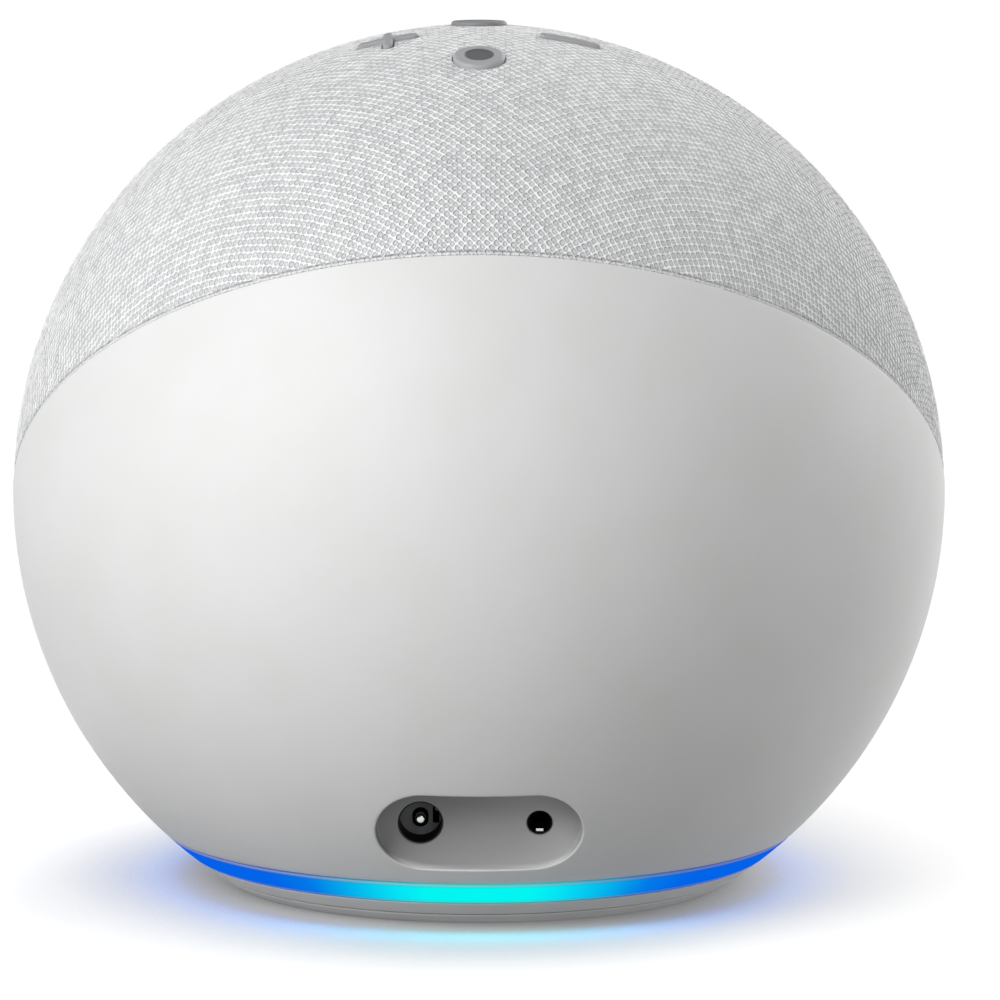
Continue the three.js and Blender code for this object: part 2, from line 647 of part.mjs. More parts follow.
function wooferFrame() {
  const flangeBottom = BAFFLE_TOP + GAP;
  const profile = [
    [WOOFER_RADIUS, flangeBottom],
    [WOOFER_RADIUS, 1.4],
    [32.6, 1.4],
    [32.6, -5.5],
    [18.5, -24.2],
    [14.5, -24.2],
    [14.5, -26],
    [20, -26],
    [34.2, -6.2],
    [34.2, flangeBottom],
  ];
  const corners = evenAngles(4, Math.PI / 4);
  const ears = corners.map((a) => rod(4.2, [flangeBottom, 1.4], onCircle(WOOFER_SCREW_CIRCLE, a)));
  const holes = corners.map((a) =>
    rod(SCREW_HOLE_RADIUS, [-5, 5], onCircle(WOOFER_SCREW_CIRCLE, a), SCREW_HOLE_SEGMENTS),
  );
  const bowl = rod(32.6, [0, 5], [0, 0], INNER_SEGMENTS);
  const windows = evenAngles(4).map((angle) =>
    box([14, 40], [-8, 8], [-22, -9], new THREE.Matrix4().makeRotationZ(angle)),
  );
  const frame = joined(turned(profile), ...ears.map((ear) => cut(ear, bowl)));
  piece("woofer_frame", cut(frame, ...holes, ...windows), STEEL, acoustics);
  corners.forEach((angle, i) => {
    const place = onCircle(WOOFER_SCREW_CIRCLE, angle);
    const screw = screwSolid(2.4, [-3.2, 1.7, 2.9], place, SCREW_SEGMENTS);
    piece(`woofer_screw_${i + 1}`, screw, STEEL, acoustics);
  });
}

function wooferMotor() {
  const yoke = [
    [0, -36.3],
    [16.5, -36.3],
    [16.5, -26.3],
    [14, -26.3],
    [14, -33.8],
    [0, -33.8],
  ];
  piece("woofer_yoke", turned(yoke), STEEL, acoustics);
  piece("woofer_magnet", rod(11.5, [-33.5, -29.7], [0, 0], INNER_SEGMENTS), MAGNET, acoustics);
  piece("woofer_pole_plate", rod(11.9, [-29.4, -25.4], [0, 0], INNER_SEGMENTS), STEEL, acoustics);
}

// An open roll between two radii, as the points of one arc.
function arc(inner, outer, base, rise, steps) {
  const middle = (inner + outer) / 2;
  const half = (outer - inner) / 2;
  return Array.from({ length: steps + 1 }, (_, i) => {
    const angle = Math.PI * (1 - i / steps);
    return [middle + half * Math.cos(angle), base + rise * Math.sin(angle)];
  });
}

function wooferDiaphragm() {
  const cone = [
    [28, 1.35],
    [13.8, -9.2],
    [13.8, -10.2],
    [28, 0.35],
  ];
  piece("woofer_cone", turned(cone), PAPER_CONE, acoustics);
  const coil = [
    [12.5, -7.9],
    [13.4, -7.9],
    [13.4, -29.5],
    [12.5, -29.5],
  ];
  piece("woofer_voice_coil", turned(coil), COPPER, acoustics);
  const capBase = -7.2;
  const cap = [
    [15.4, capBase],
    [11, capBase + 3],
    [0, capBase + 4.3],
    [0, capBase + 3.7],
    [10.6, capBase + 2.4],
    [14.4, capBase],
  ];
  piece("woofer_dust_cap", turned(cap), PAPER_CONE, acoustics);

  const rollThickness = 0.6;
  const surround = [
    [26.2, 1.7],
    ...arc(27.8, 32.8, 1.7, 2.2, 4),
    [36.5, 1.7],
    [36.5, 1.7 + rollThickness],
    ...arc(27.2, 33.4, 1.7 + rollThickness, 2.2, 4).reverse(),
    [26.2, 1.7 + rollThickness],
  ];
  piece("woofer_surround", turned(surround), SOFT_RUBBER, acoustics);
  const spiderTop = [[13.8, -19], [16.4, -18.2], [19, -19.4], [21.6, -18.6]];
  const spiderBottom = spiderTop.map(([radius, height]) => [radius, height - 0.5]).reverse();
  piece("woofer_spider", turned([...spiderTop, ...spiderBottom]), SPIDER_CLOTH, acoustics);
}

function tweeter(side, x) {
  const frame = new THREE.Matrix4().makeTranslation(x, 0, 0);
  const round = (profile) => turned(profile, 16, frame);
  const flangeBottom = BAFFLE_TOP + GAP;
  const cup = [
    [0, -8],
    [10, -8],
    [10, flangeBottom],
    [12, flangeBottom],
    [12, 1.2],
    [8.9, 1.2],
    [8.9, -6.5],
    [0, -6.5],
  ];
  piece(`tweeter_frame_${side}`, round(cup), BLACK_PLASTIC, acoustics);
  const magnet = [[0, -6.2], [8.2, -6.2], [8.2, -2.5], [0, -2.5]];
  piece(`tweeter_magnet_${side}`, round(magnet), MAGNET, acoustics);
  const dome = [
    [8.4, -1.3],
    [6.2, 0.7],
    [0, 1.9],
    [0, 1.4],
    [5.8, 0.3],
    [7.6, -1.3],
  ];
  piece(`tweeter_dome_${side}`, round(dome), SILK, acoustics);
}

function baffleScrews() {
  SCREW_BOSS_ANGLES.forEach((angle, i) => {
    const place = onCircle(BAFFLE_SCREW_CIRCLE, angle);
    const screw = screwSolid(2.5, [-13, BAFFLE_TOP + GAP, 1], place, SCREW_SEGMENTS);
    piece(`baffle_screw_${i + 1}`, screw, STEEL, acoustics);
  });
}

// ---------------------------------------------------------------- button board

const BUTTON_BOARD_TOP = 119.9;
const BUTTON_BOARD_BOTTOM = 118.3;

function buttonBoard() {
  const board = rod(22.6, [BUTTON_BOARD_BOTTOM, BUTTON_BOARD_TOP], [0, 0], INNER_SEGMENTS);
  const microphones = evenAngles(4, Math.PI / 4).map((angle) => {
    const [x, y] = onCircle(17.5, angle);
    return box([x - 1.5, x + 1.5], [y - 2, y + 2], [BUTTON_BOARD_TOP - 0.2, BUTTON_BOARD_TOP + 1]);
  });
  piece("button_board", joined(board, ...microphones), CIRCUIT_BOARD);
  for (const { name, place: [x, y] } of BUTTONS) {
    const bodyTop = SWITCH_TOP - 0.6;
    const body = box([x - 3, x + 3], [y - 3, y + 3], [BUTTON_BOARD_TOP + GAP, bodyTop]);
    const plunger = rod(1.7, [bodyTop - 0.2, SWITCH_TOP], [x, y]);
    piece(name.replace("button", "switch"), joined(body, plunger), BLACK_PLASTIC);
  }
  const carrier = [
    [19.5, 116.8],
    [25.3, 116.8],
    [25.3, 124],
    [22.9, 124],
    [22.9, 118],
    [19.5, 118],
  ];
  piece("button_carrier", turned(carrier), GREY_PLASTIC);
  const path = [
    [-4, 117.8],
    [-10, 116],
    [-19, 115],
    [-30, 112],
    [-44, 104.4],
    [-58, 86],
    [-63, 64],
    [-60, 40],
    [-54, 31.4],
    [-42, 29],
    [-33, 24],
    [-29.5, 18.4],
    [-26.5, 15.8],
  ];
  piece("button_cable", strip(path, 0.4, [8, 16], 26), FLEX_FILM);
}

// ---------------------------------------------------------------- the whole speaker

fabricCover();
grilleDome();
rearShell();
lightRing();
ledBoard();
lightReflector();
basePlate();
rubberFoot();
tripodInsert();
baseScrews();
electronics();
dcJack();
audioJack();
socketBoard();
enclosure();
baffleScrews();
wooferFrame();
wooferMotor();
wooferDiaphragm();
tweeter("left", TWEETER_X);
tweeter("right", -TWEETER_X);
buttonBoard();
buttonPieces();

export default speaker;
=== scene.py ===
"""A ball-shaped smart speaker, seen from behind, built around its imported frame.

Lengths are in metres. The ball is split by a tilted plane: knitted fabric above it and a
moulded shell below it. A light ring, a base plate and a rubber foot close it underneath.
"""
import json
import math

import bmesh
import bpy
from mathutils import Matrix, Vector
from mathutils.geometry import delaunay_2d_cdt


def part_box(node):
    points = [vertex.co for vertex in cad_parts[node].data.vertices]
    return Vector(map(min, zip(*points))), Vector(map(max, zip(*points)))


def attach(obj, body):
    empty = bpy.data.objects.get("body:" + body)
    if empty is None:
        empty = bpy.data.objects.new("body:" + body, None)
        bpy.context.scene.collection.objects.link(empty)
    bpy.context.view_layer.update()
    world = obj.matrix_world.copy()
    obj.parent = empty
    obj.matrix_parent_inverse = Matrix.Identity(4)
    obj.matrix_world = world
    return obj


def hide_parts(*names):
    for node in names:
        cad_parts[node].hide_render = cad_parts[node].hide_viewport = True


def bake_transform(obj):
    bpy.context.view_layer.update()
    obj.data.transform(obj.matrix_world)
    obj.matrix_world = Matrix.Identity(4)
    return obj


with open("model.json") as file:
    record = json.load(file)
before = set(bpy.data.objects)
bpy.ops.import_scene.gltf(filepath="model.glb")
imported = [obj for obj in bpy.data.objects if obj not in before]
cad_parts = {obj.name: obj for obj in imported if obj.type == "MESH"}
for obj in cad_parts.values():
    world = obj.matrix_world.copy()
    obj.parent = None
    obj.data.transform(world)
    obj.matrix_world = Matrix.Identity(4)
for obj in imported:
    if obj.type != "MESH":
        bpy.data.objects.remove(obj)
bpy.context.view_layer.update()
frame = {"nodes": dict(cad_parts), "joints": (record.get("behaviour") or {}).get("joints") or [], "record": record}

MM = 0.001
FULL_TURN = 2 * math.pi
QUARTER_TURN = math.pi / 2
BODY = "speaker"
UP = Vector((0, 0, 1))

# ---- places from the frame


def reach(node, direction, origin=Vector((0, 0, 0))):
    """(least, greatest) distance of a CAD node's points from origin, along direction."""
    places = [(v.co - origin).dot(direction) for v in frame["nodes"][node].data.vertices]
    return min(places), max(places)


def middle(node):
    low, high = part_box(node)
    return (low + high) / 2


BALL_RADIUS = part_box("rear_shell")[1].x
CENTRE = Vector((0, 0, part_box("fabric_cover")[1].z - BALL_RADIUS))
JOINTS = {joint["name"]: joint for joint in frame["joints"]}
SPLIT_NORMAL = Vector(JOINTS["woofer_excursion"]["axis"]).normalized()
if SPLIT_NORMAL.z < 0:
    SPLIT_NORMAL.negate()
SPLIT_RIGHT = Vector((1, 0, 0))
SPLIT_FRONT = SPLIT_NORMAL.cross(SPLIT_RIGHT)

SEAM_SHIFT = 0.45 * MM  # the knit laps a little further down than the frame's plain dome
SEAM_CLOSING = 0.2 * MM  # how much narrower the drawn gap is than the frame's
FABRIC_EDGE = reach("fabric_cover", SPLIT_NORMAL, CENTRE)[0] - SEAM_SHIFT - SEAM_CLOSING
SHELL_EDGE = reach("rear_shell", SPLIT_NORMAL, CENTRE)[1] - SEAM_SHIFT
SHELL_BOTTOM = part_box("rear_shell")[0].z
RING_BOTTOM, RING_TOP = (corner.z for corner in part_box("light_ring"))
BASE_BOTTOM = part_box("base_plate")[0].z
FOOT_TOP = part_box("rubber_foot")[1].z

FABRIC_THICKNESS = 0.7 * MM
SHELL_WALL = 2.4 * MM
FLANGE_RADIUS = 36 * MM
FLANGE_TOP = SHELL_BOTTOM + 1.65 * MM
GAP = 0.3 * MM


def spread_evenly(first, last, count):
    """count + 1 numbers from first to last."""
    return [first + (last - first) * k / count for k in range(count + 1)]


def quarter(steps):
    """A quarter turn's angles in that many steps, its start left out."""
    return spread_evenly(0, QUARTER_TURN, steps)[1:]


def round_angles(count):
    return [FULL_TURN * k / count for k in range(count)]


def radius_at(height):
    """The ball's horizontal radius at a height above the table."""
    return math.sqrt(BALL_RADIUS**2 - (CENTRE.z - height) ** 2)


def turned_place(radius, height, angle, centre=(0, 0)):
    x, y = centre
    return Vector((x + radius * math.cos(angle), y + radius * math.sin(angle), height))


def add_object(name, data):
    made = bpy.data.objects.new(name, data)
    bpy.context.scene.collection.objects.link(made)
    return made


# ---- camera

VIEW_ELEVATION = math.radians(10.5)
VIEW_DISTANCE = 6.0
VIEW_WIDTH = 2.146 * BALL_RADIUS  # what the picture takes in, at the ball's outline
VIEW_SHIFT = (0.021, -0.0112)
SENSOR_WIDTH = 36


def make_camera():
    data = bpy.data.cameras.new("camera")
    camera = add_object("camera", data)
    back = Vector((0, -math.cos(VIEW_ELEVATION), math.sin(VIEW_ELEVATION)))
    camera.location = CENTRE + VIEW_DISTANCE * back
    camera.rotation_euler = (QUARTER_TURN - VIEW_ELEVATION, 0, 0)
    data.sensor_width = SENSOR_WIDTH
    outline_distance = math.sqrt(VIEW_DISTANCE**2 - BALL_RADIUS**2)
    data.lens = SENSOR_WIDTH * outline_distance / VIEW_WIDTH
    data.shift_x, data.shift_y = VIEW_SHIFT
    data.clip_start, data.clip_end = 0.5, 30
    bpy.context.scene.camera = camera


make_camera()

# ---- meshes


class Shape:
    """Points and faces gathered for one mesh."""

    def __init__(self):
        self.points = []
        self.faces = []

    def ring(self, places):
        """Adds points, and returns their numbers in order."""
        first = len(self.points)
        self.points.extend(places)
        return list(range(first, len(self.points)))

    def band(self, lower, upper):
        """Joins two closed rings of equal count with quads."""
        for i, low in enumerate(lower):
            j = (i + 1) % len(lower)
            self.faces.append((low, lower[j], upper[j], upper[i]))

    def tube(self, rings):
        for lower, upper in zip(rings, rings[1:]):
            self.band(lower, upper)

    def cap(self, ring, place):
        """Closes a ring with triangles to one point."""
        (tip,) = self.ring([place])
        for i, corner in enumerate(ring):
            self.faces.append((corner, ring[(i + 1) % len(ring)], tip))

    def fill(self, border, edges, scattered, place, keep):
        """Triangulates a region of a flat map.

        border gives the flat place of each existing point, edges the pairs that bound the
        region, scattered the flat places of new points, and keep says whether a flat place
        lies in the region."""
        known = list(border)
        number = {point: i for i, point in enumerate(known)}
        flat = [Vector(border[point]) for point in known] + [Vector(s) for s in scattered]
        known.extend(self.ring([place(Vector(s)) for s in scattered]))
        bounds = [(number[a], number[b]) for a, b in edges]
        spots, _, triangles, origins, _, _ = delaunay_2d_cdt(flat, bounds, [], 0, 1e-9)
        for triangle in triangles:
            centre = sum((spots[i] for i in triangle), Vector((0, 0))) / 3
            if keep(centre):
                self.faces.append(tuple(known[origins[i][0]] for i in triangle))

    def seen_from_above(self, ring):
        """A ring with its flat spots, as fill_flat takes it."""
        return ring, [self.points[i].xy for i in ring]

    def open_edges(self, first_face=0):
        """Pairs of points that bound the faces added from first_face on."""
        uses = {}
        for face in self.faces[first_face:]:
            for a, b in zip(face, face[1:] + face[:1]):
                key = (min(a, b), max(a, b))
                uses[key] = uses.get(key, 0) + 1
        return [edge for edge, count in uses.items() if count == 1]


def ring_edges(ring):
    return list(zip(ring, ring[1:] + ring[:1]))


def borders(rings):
    """What Shape.fill takes for rings of points, each given with its flat spots."""
    border, edges = {}, []
    for ring, spots in rings:
        border.update(zip(ring, spots))
        edges.extend(ring_edges(ring))
    return border, edges


def inside(spot, polygon):
    """True if a flat place lies inside a polygon of flat places."""
    x, y = spot
    result = False
    for a, b in zip(polygon, polygon[1:] + polygon[:1]):
        if (a[1] > y) != (b[1] > y) and x < a[0] + (y - a[1]) * (b[0] - a[0]) / (b[1] - a[1]):
            result = not result
    return result


def walk(edges):
    """A closed chain of edges as an ordered list of points."""
    near = {}
    for a, b in edges:
        near.setdefault(a, []).append(b)
        near.setdefault(b, []).append(a)
    chain = [edges[0][0]]
    before = None
    while True:
        step = next(p for p in near[chain[-1]] if p != before)
        if step == chain[0]:
            return chain
        before = chain[-1]
        chain.append(step)


def lattice(spacing, half_width, half_height, centre=(0, 0)):
    """A staggered grid of flat places over a rectangle."""
    rows = math.ceil(half_height / spacing)
    columns = math.ceil(half_width / spacing)
    return [
        Vector((centre[0] + (i + j % 2 / 2) * spacing, centre[1] + j * spacing))
        for j in range(-rows, rows + 1)
        for i in range(-columns, columns + 1)
    ]


def make_piece(name, shape, finish, node, body=BODY, sharp=math.radians(35)):
    """A finished piece: a closed, outward, smooth-shaded mesh that stands for a CAD node.

    finish is a name from FINISHES. The piece's slot has the same name."""
    mesh = bpy.data.meshes.new(name)
    mesh.from_pydata([tuple(p) for p in shape.points], [], shape.faces)
    work = bmesh.new()
    work.from_mesh(mesh)
    loose = [vertex for vertex in work.verts if not vertex.link_faces]
    bmesh.ops.delete(work, geom=loose, context="VERTS")
    bmesh.ops.recalc_face_normals(work, faces=work.faces)
    for face in work.faces:
        face.smooth = True
    for edge in work.edges:
        edge.smooth = not edge.is_manifold or edge.calc_face_angle(0) < sharp
    work.to_mesh(mesh)
    work.free()
    piece = add_object(name, mesh)
    mesh.materials.append(FINISHES[finish])
    if body:
        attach(piece, body)
    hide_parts(node)
    return piece


def bend(start, corner, end, t):
    """A place on the curve from start to end that a corner pulls towards itself."""
    return (1 - t) ** 2 * start + 2 * t * (1 - t) * corner + t**2 * end


def rounded(profile, size, steps=4):
    """A closed profile of (radius, height) with its marked corners rounded.

    A corner is (radius, height, share), and share scales the rounding's size."""
    result = []
    for i, corner in enumerate(profile):
        here = Vector(corner[:2])
        share = corner[2] if len(corner) > 2 else 0
        if not share:
            result.append(here)
            continue
        before = Vector(profile[i - 1][:2]) - here
        after = Vector(profile[(i + 1) % len(profile)][:2]) - here
        start = here + before.normalized() * min(size * share, before.length / 2)
        end = here + after.normalized() * min(size * share, after.length / 2)
        result.extend(bend(start, here, end, t) for t in spread_evenly(0, 1, steps))
    return result


def lathe(shape, profile, segments, centre=(0, 0), closed=True):
    """Turns a profile of (radius, height) about an upright axis, into rings."""
    angles = round_angles(segments)
    rings = [
        shape.ring([turned_place(radius, height, a, centre) for a in angles])
        for radius, height in profile
    ]
    shape.tube(rings + rings[:1] if closed else rings)
    return rings


def ball_arc(low, high, steps):
    """Profile points on the ball between two heights."""
    first, last = (math.asin((z - CENTRE.z) / BALL_RADIUS) for z in (low, high))
    angles = spread_evenly(first, last, steps)
    return [(BALL_RADIUS * math.cos(a), CENTRE.z + BALL_RADIUS * math.sin(a)) for a in angles]


def ball_band(low, high, edge, steps):
    """Profile points on the ball between two heights, with small round edges."""
    return [
        (radius_at(low) - edge, low),
        (radius_at(low + edge / 4) - edge / 4, low + edge / 4),
        *ball_arc(low + edge, high - edge, steps),
        (radius_at(high - edge / 4) - edge / 4, high - edge / 4),
        (radius_at(high) - edge, high),
    ]


# ---- outlines


class Outline:
    """A closed flat outline that can grow: each point keeps its outward direction."""

    def __init__(self):
        self.places = []
        self.outward = []

    def arc(self, centre, radius, start, end, steps, hollow=False):
        """An arc of the outline; a hollow one has its solid outside the arc."""
        for angle in spread_evenly(start, end, steps):
            direction = Vector((math.cos(angle), math.sin(angle)))
            self.places.append(Vector(centre) + radius * direction)
            self.outward.append(-direction if hollow else direction)
        return self

    def grown(self, margin):
        return [p + margin * d for p, d in zip(self.places, self.outward)]


def disc_outline(centre, radius, count):
    step = FULL_TURN / count
    return Outline().arc(centre, radius, 0, FULL_TURN - step, count - 1)


def bar_outline(centre, length, width, steps=12, straight=14):
    """A rounded bar along X, with points along its straight sides too."""
    x, y = centre
    half, radius = (length - width) / 2, width / 2
    outline = Outline()
    for side in (1, -1):
        start = -side * QUARTER_TURN
        outline.arc((x + side * half, y), radius, start, start + math.pi, steps)
        for k in range(1, straight):
            along = x + side * (half - 2 * half * k / straight)
            outline.places.append(Vector((along, y + side * radius)))
            outline.outward.append(Vector((0, side)))
    return outline


def plus_outline(centre, length, width, corner):
    """Two crossed bars with rounded ends, and small rounds where they meet."""
    outline = Outline()
    half, radius = (length - width) / 2, width / 2
    for arm in range(4):
        turn = arm * QUARTER_TURN
        swing = Matrix.Rotation(turn, 2)
        end = Vector(centre) + swing @ Vector((half, 0))
        outline.arc(end, radius, turn - QUARTER_TURN, turn + QUARTER_TURN, 10)
        meeting = Vector(centre) + swing @ Vector((radius + corner, radius + corner))
        start = turn - QUARTER_TURN
        outline.arc(meeting, corner, start, start - QUARTER_TURN, 5, hollow=True)
    return outline


def level(spots, height):
    """Flat places lifted to one height."""
    return [Vector((x, y, height)) for x, y in spots]


def rounded_box(x_span, y_span, radius, steps=4):
    """A rectangle's outline with rounded corners."""
    outline = Outline()
    corners = [(1, 0), (1, 1), (0, 1), (0, 0)]
    for k, (i, j) in enumerate(corners):
        x = x_span[i] - radius * (2 * i - 1)
        y = y_span[j] - radius * (2 * j - 1)
        start = (k - 1) * QUARTER_TURN
        outline.arc((x, y), radius, start, start + QUARTER_TURN, steps)
    return outline


def fill_flat(shape, around, *holes):
    """A flat face bounded by a ring and by holes; each is (ring, spots)."""

    def keep(spot):
        return inside(spot, around[1]) and not any(inside(spot, hole[1]) for hole in holes)

    shape.fill(*borders([around, *holes]), [], None, keep)


def well(shape, outline, top, bottom, lip=0.0, steps=3):
    """A hole with a rounded lip. Returns its top ring and its bottom ring, with their spots."""
    mouth = outline.grown(lip)
    first = shape.ring(level(mouth, top))
    rings = [first]
    for turn in quarter(steps) if lip else ():
        spots = outline.grown(lip * (1 - math.sin(turn)))
        rings.append(shape.ring(level(spots, top - lip * (1 - math.cos(turn)))))
    rings.append(shape.ring(level(outline.places, bottom)))
    shape.tube(rings)
    return (first, mouth), (rings[-1], outline.places)


# ---- finishes

FINISHES = {}  # the materials made here, by name: the frame brings plain ones of the same names


def shade(code):
    """A colour written as six hexadecimal digits, as the shader's linear values."""
    parts = [int(code[i : i + 2], 16) / 255 for i in (0, 2, 4)]
    linear = [p / 12.92 if p <= 0.04045 else ((p + 0.055) / 1.055) ** 2.4 for p in parts]
    return (*linear, 1)


class Nodes:
    """A node tree, with short calls that add nodes and join them."""

    def __init__(self, tree):
        self.tree = tree

    def node(self, kind, **settings):
        made = self.tree.nodes.new(kind)
        for key, value in settings.items():
            setattr(made, key, value)
        return made

    def set(self, node, **values):
        for key, value in values.items():
            self.plug(node.inputs[key.replace("_", " ")], value)
        return node

    def plug(self, socket, value):
        if isinstance(value, bpy.types.NodeSocket):
            self.tree.links.new(value, socket)
        else:
            socket.default_value = value

    def math(self, operation, *values):
        made = self.node("ShaderNodeMath", operation=operation)
        for socket, value in zip(made.inputs, values):
            self.plug(socket, value)
        return made.outputs["Value"]

    def apart(self, first, second):
        """How far two numbers lie apart."""
        return self.math("ABSOLUTE", self.math("SUBTRACT", first, second))

    def vector(self, operation, first, second):
        """Arithmetic on two vectors; a distance or dot product comes out as a number."""
        made = self.node("ShaderNodeVectorMath", operation=operation)
        self.plug(made.inputs[0], first)
        self.plug(made.inputs[1], second)
        return made.outputs["Value" if operation in ("DISTANCE", "DOT_PRODUCT") else "Vector"]

    def ramp(self, factor, *stops):
        """Colours along a factor; a stop is (position, hexadecimal colour)."""
        made = self.node("ShaderNodeValToRGB")
        elements = made.color_ramp.elements
        while len(elements) < len(stops):
            elements.new(1)
        for element, (position, code) in zip(elements, stops):
            element.position = position
            element.color = shade(code)
        self.set(made, Fac=factor)
        return made.outputs["Color"]

    def mapped(self, value, low, high, to_low=0.0, to_high=1.0, smooth=False):
        kind = "SMOOTHSTEP" if smooth else "LINEAR"
        made = self.node("ShaderNodeMapRange", interpolation_type=kind)
        for socket, number in zip(made.inputs, (value, low, high, to_low, to_high)):
            self.plug(socket, number)
        return made.outputs["Result"]

    def blend(self, factor, first, second, mode="MIX"):
        made = self.node("ShaderNodeMix", data_type="RGBA", blend_type=mode)
        sockets = [s for s in made.inputs if s.type == "RGBA"]
        self.plug(made.inputs["Factor"], factor)
        self.plug(sockets[0], first)
        self.plug(sockets[1], second)
        return next(s for s in made.outputs if s.type == "RGBA")

    def blend_shaders(self, factor, first, second):
        made = self.node("ShaderNodeMixShader")
        for socket, value in zip(made.inputs, (factor, first, second)):
            self.plug(socket, value)
        return made.outputs["Shader"]

    def split(self, vector):
        made = self.set(self.node("ShaderNodeSeparateXYZ"), Vector=vector)
        return made.outputs["X"], made.outputs["Y"], made.outputs["Z"]


class Finish(Nodes):
    """A material with one surface shader, worked out from the object's own coordinates."""

    def __init__(self, name, roughness=0.5, kind="ShaderNodeBsdfPrincipled", **sockets):
        self.name = name
        material = FINISHES[name] = bpy.data.materials.new(name)
        material.use_nodes = True
        super().__init__(material.node_tree)
        self.tree.nodes.clear()
        self.shader = self.set(self.node(kind), Roughness=roughness, **sockets)
        self.surface = self.node("ShaderNodeOutputMaterial").inputs["Surface"]
        self.plug(self.surface, self.shader.outputs["BSDF"])
        place = self.node("ShaderNodeTexCoord").outputs["Object"]
        scaled = self.node("ShaderNodeVectorMath", operation="SCALE")
        self.set(scaled, Vector=place, Scale=1 / MM)
        self.place = scaled.outputs["Vector"]  # in millimetres

    def noise(self, size, detail=2.0, place=None):
        """A cloudy pattern from 0 to 1, its size in millimetres."""
        made = self.node("ShaderNodeTexNoise")
        self.set(made, Vector=place or self.place, Scale=1 / size, Detail=detail)
        return made.outputs["Fac"]

    def colour(self, value):
        self.set(self.shader, Base_Color=value)

    def rough(self, value):
        self.set(self.shader, Roughness=value)

    def bump(self, height, depth):
        """Relief of that depth in millimetres where height goes from 0 to 1."""
        made = self.node("ShaderNodeBump")
        self.set(made, Height=height, Distance=depth * MM, Strength=1.0)
        self.set(self.shader, Normal=made.outputs["Normal"])


def moulded(name, dark, light, roughness, grain=0.25, depth=0.004, **sockets):
    """Moulded plastic or rubber: a fine spark-eroded grain and faint cloudiness."""
    finish = Finish(name, roughness, **sockets)
    finish.colour(finish.ramp(finish.noise(9, 3), (0.3, dark), (0.7, light)))
    speckle = finish.noise(grain, 1)
    finish.bump(speckle, depth)
    finish.rough(finish.mapped(speckle, 0.3, 0.7, roughness - 0.05, roughness + 0.05))
    return finish.name


def metal(name, dark, light, roughness, streak=(1, 1, 12), depth=0.003):
    """Bare metal with drawn or turned streaks and patchy polish."""
    finish = Finish(name, roughness, Metallic=1.0)
    lines = finish.noise(0.5, 3, place=finish.vector("MULTIPLY", finish.place, streak))
    finish.colour(finish.ramp(lines, (0.3, dark), (0.7, light)))
    finish.bump(lines, depth)
    finish.rough(finish.mapped(finish.noise(2.5), 0.3, 0.7, roughness - 0.06, roughness + 0.1))
    return finish.name


def woven(name, dark, light, pitch, roughness=0.9, depth=0.05):
    """Cloth, paper or felt: crossed fibres over a mottled ground."""
    finish = Finish(name, roughness, Sheen_Weight=0.2)
    x, y, z = finish.split(finish.place)
    warp = finish.math("SINE", finish.math("MULTIPLY", x, FULL_TURN / pitch))
    weft = finish.math("SINE", finish.math("MULTIPLY", finish.math("ADD", y, z), FULL_TURN / pitch))
    weave = finish.mapped(finish.math("MULTIPLY", warp, weft), -1, 1)
    fibres = finish.math("MULTIPLY", weave, finish.noise(0.3, 4))
    finish.colour(finish.ramp(fibres, (0.1, dark), (0.6, light)))
    finish.bump(fibres, depth)
    return finish.name


def circuit_board():
    """Green solder mask over faint copper tracks."""
    finish = Finish("circuit_board", 0.35, Coat_Weight=0.3)
    tracks = finish.node("ShaderNodeTexBrick", offset=0.5)
    finish.set(tracks, Vector=finish.place, Scale=0.35, Mortar_Size=0.04)
    finish.set(tracks, Color1=shade("0f4a30"), Color2=shade("125536"), Mortar=shade("1c6f47"))
    finish.colour(tracks.outputs["Color"])
    finish.bump(tracks.outputs["Fac"], 0.02)
    finish.rough(finish.mapped(finish.noise(3), 0.3, 0.7, 0.3, 0.45))
    return finish.name


NET_WIDTH = 2.07 * MM  # one diamond of the knit, before it is stretched over the dome
NET_LENGTH = 1.62 * MM
NET_MAP = "net"
NET_WANDER = 0.16  # how far the threads stray, as a share of a diamond
SEAM_SHADE_HEIGHT = 0.6 * MM  # a dashed line of painted shade along the seam, above the knit's plain hem
THREAD_STOPS = (  # from a cell's middle to a thread's: a painted highlight in the cell's middle, and a painted shaded rim between
    (0.0, "dedfe1"),
    (0.4, "d3d4d6"),
    (0.66, "b6b7b9"),
    (0.78, "dcdddf"),
    (0.87, "fcfcfd"),
    (1.0, "ffffff"),
)


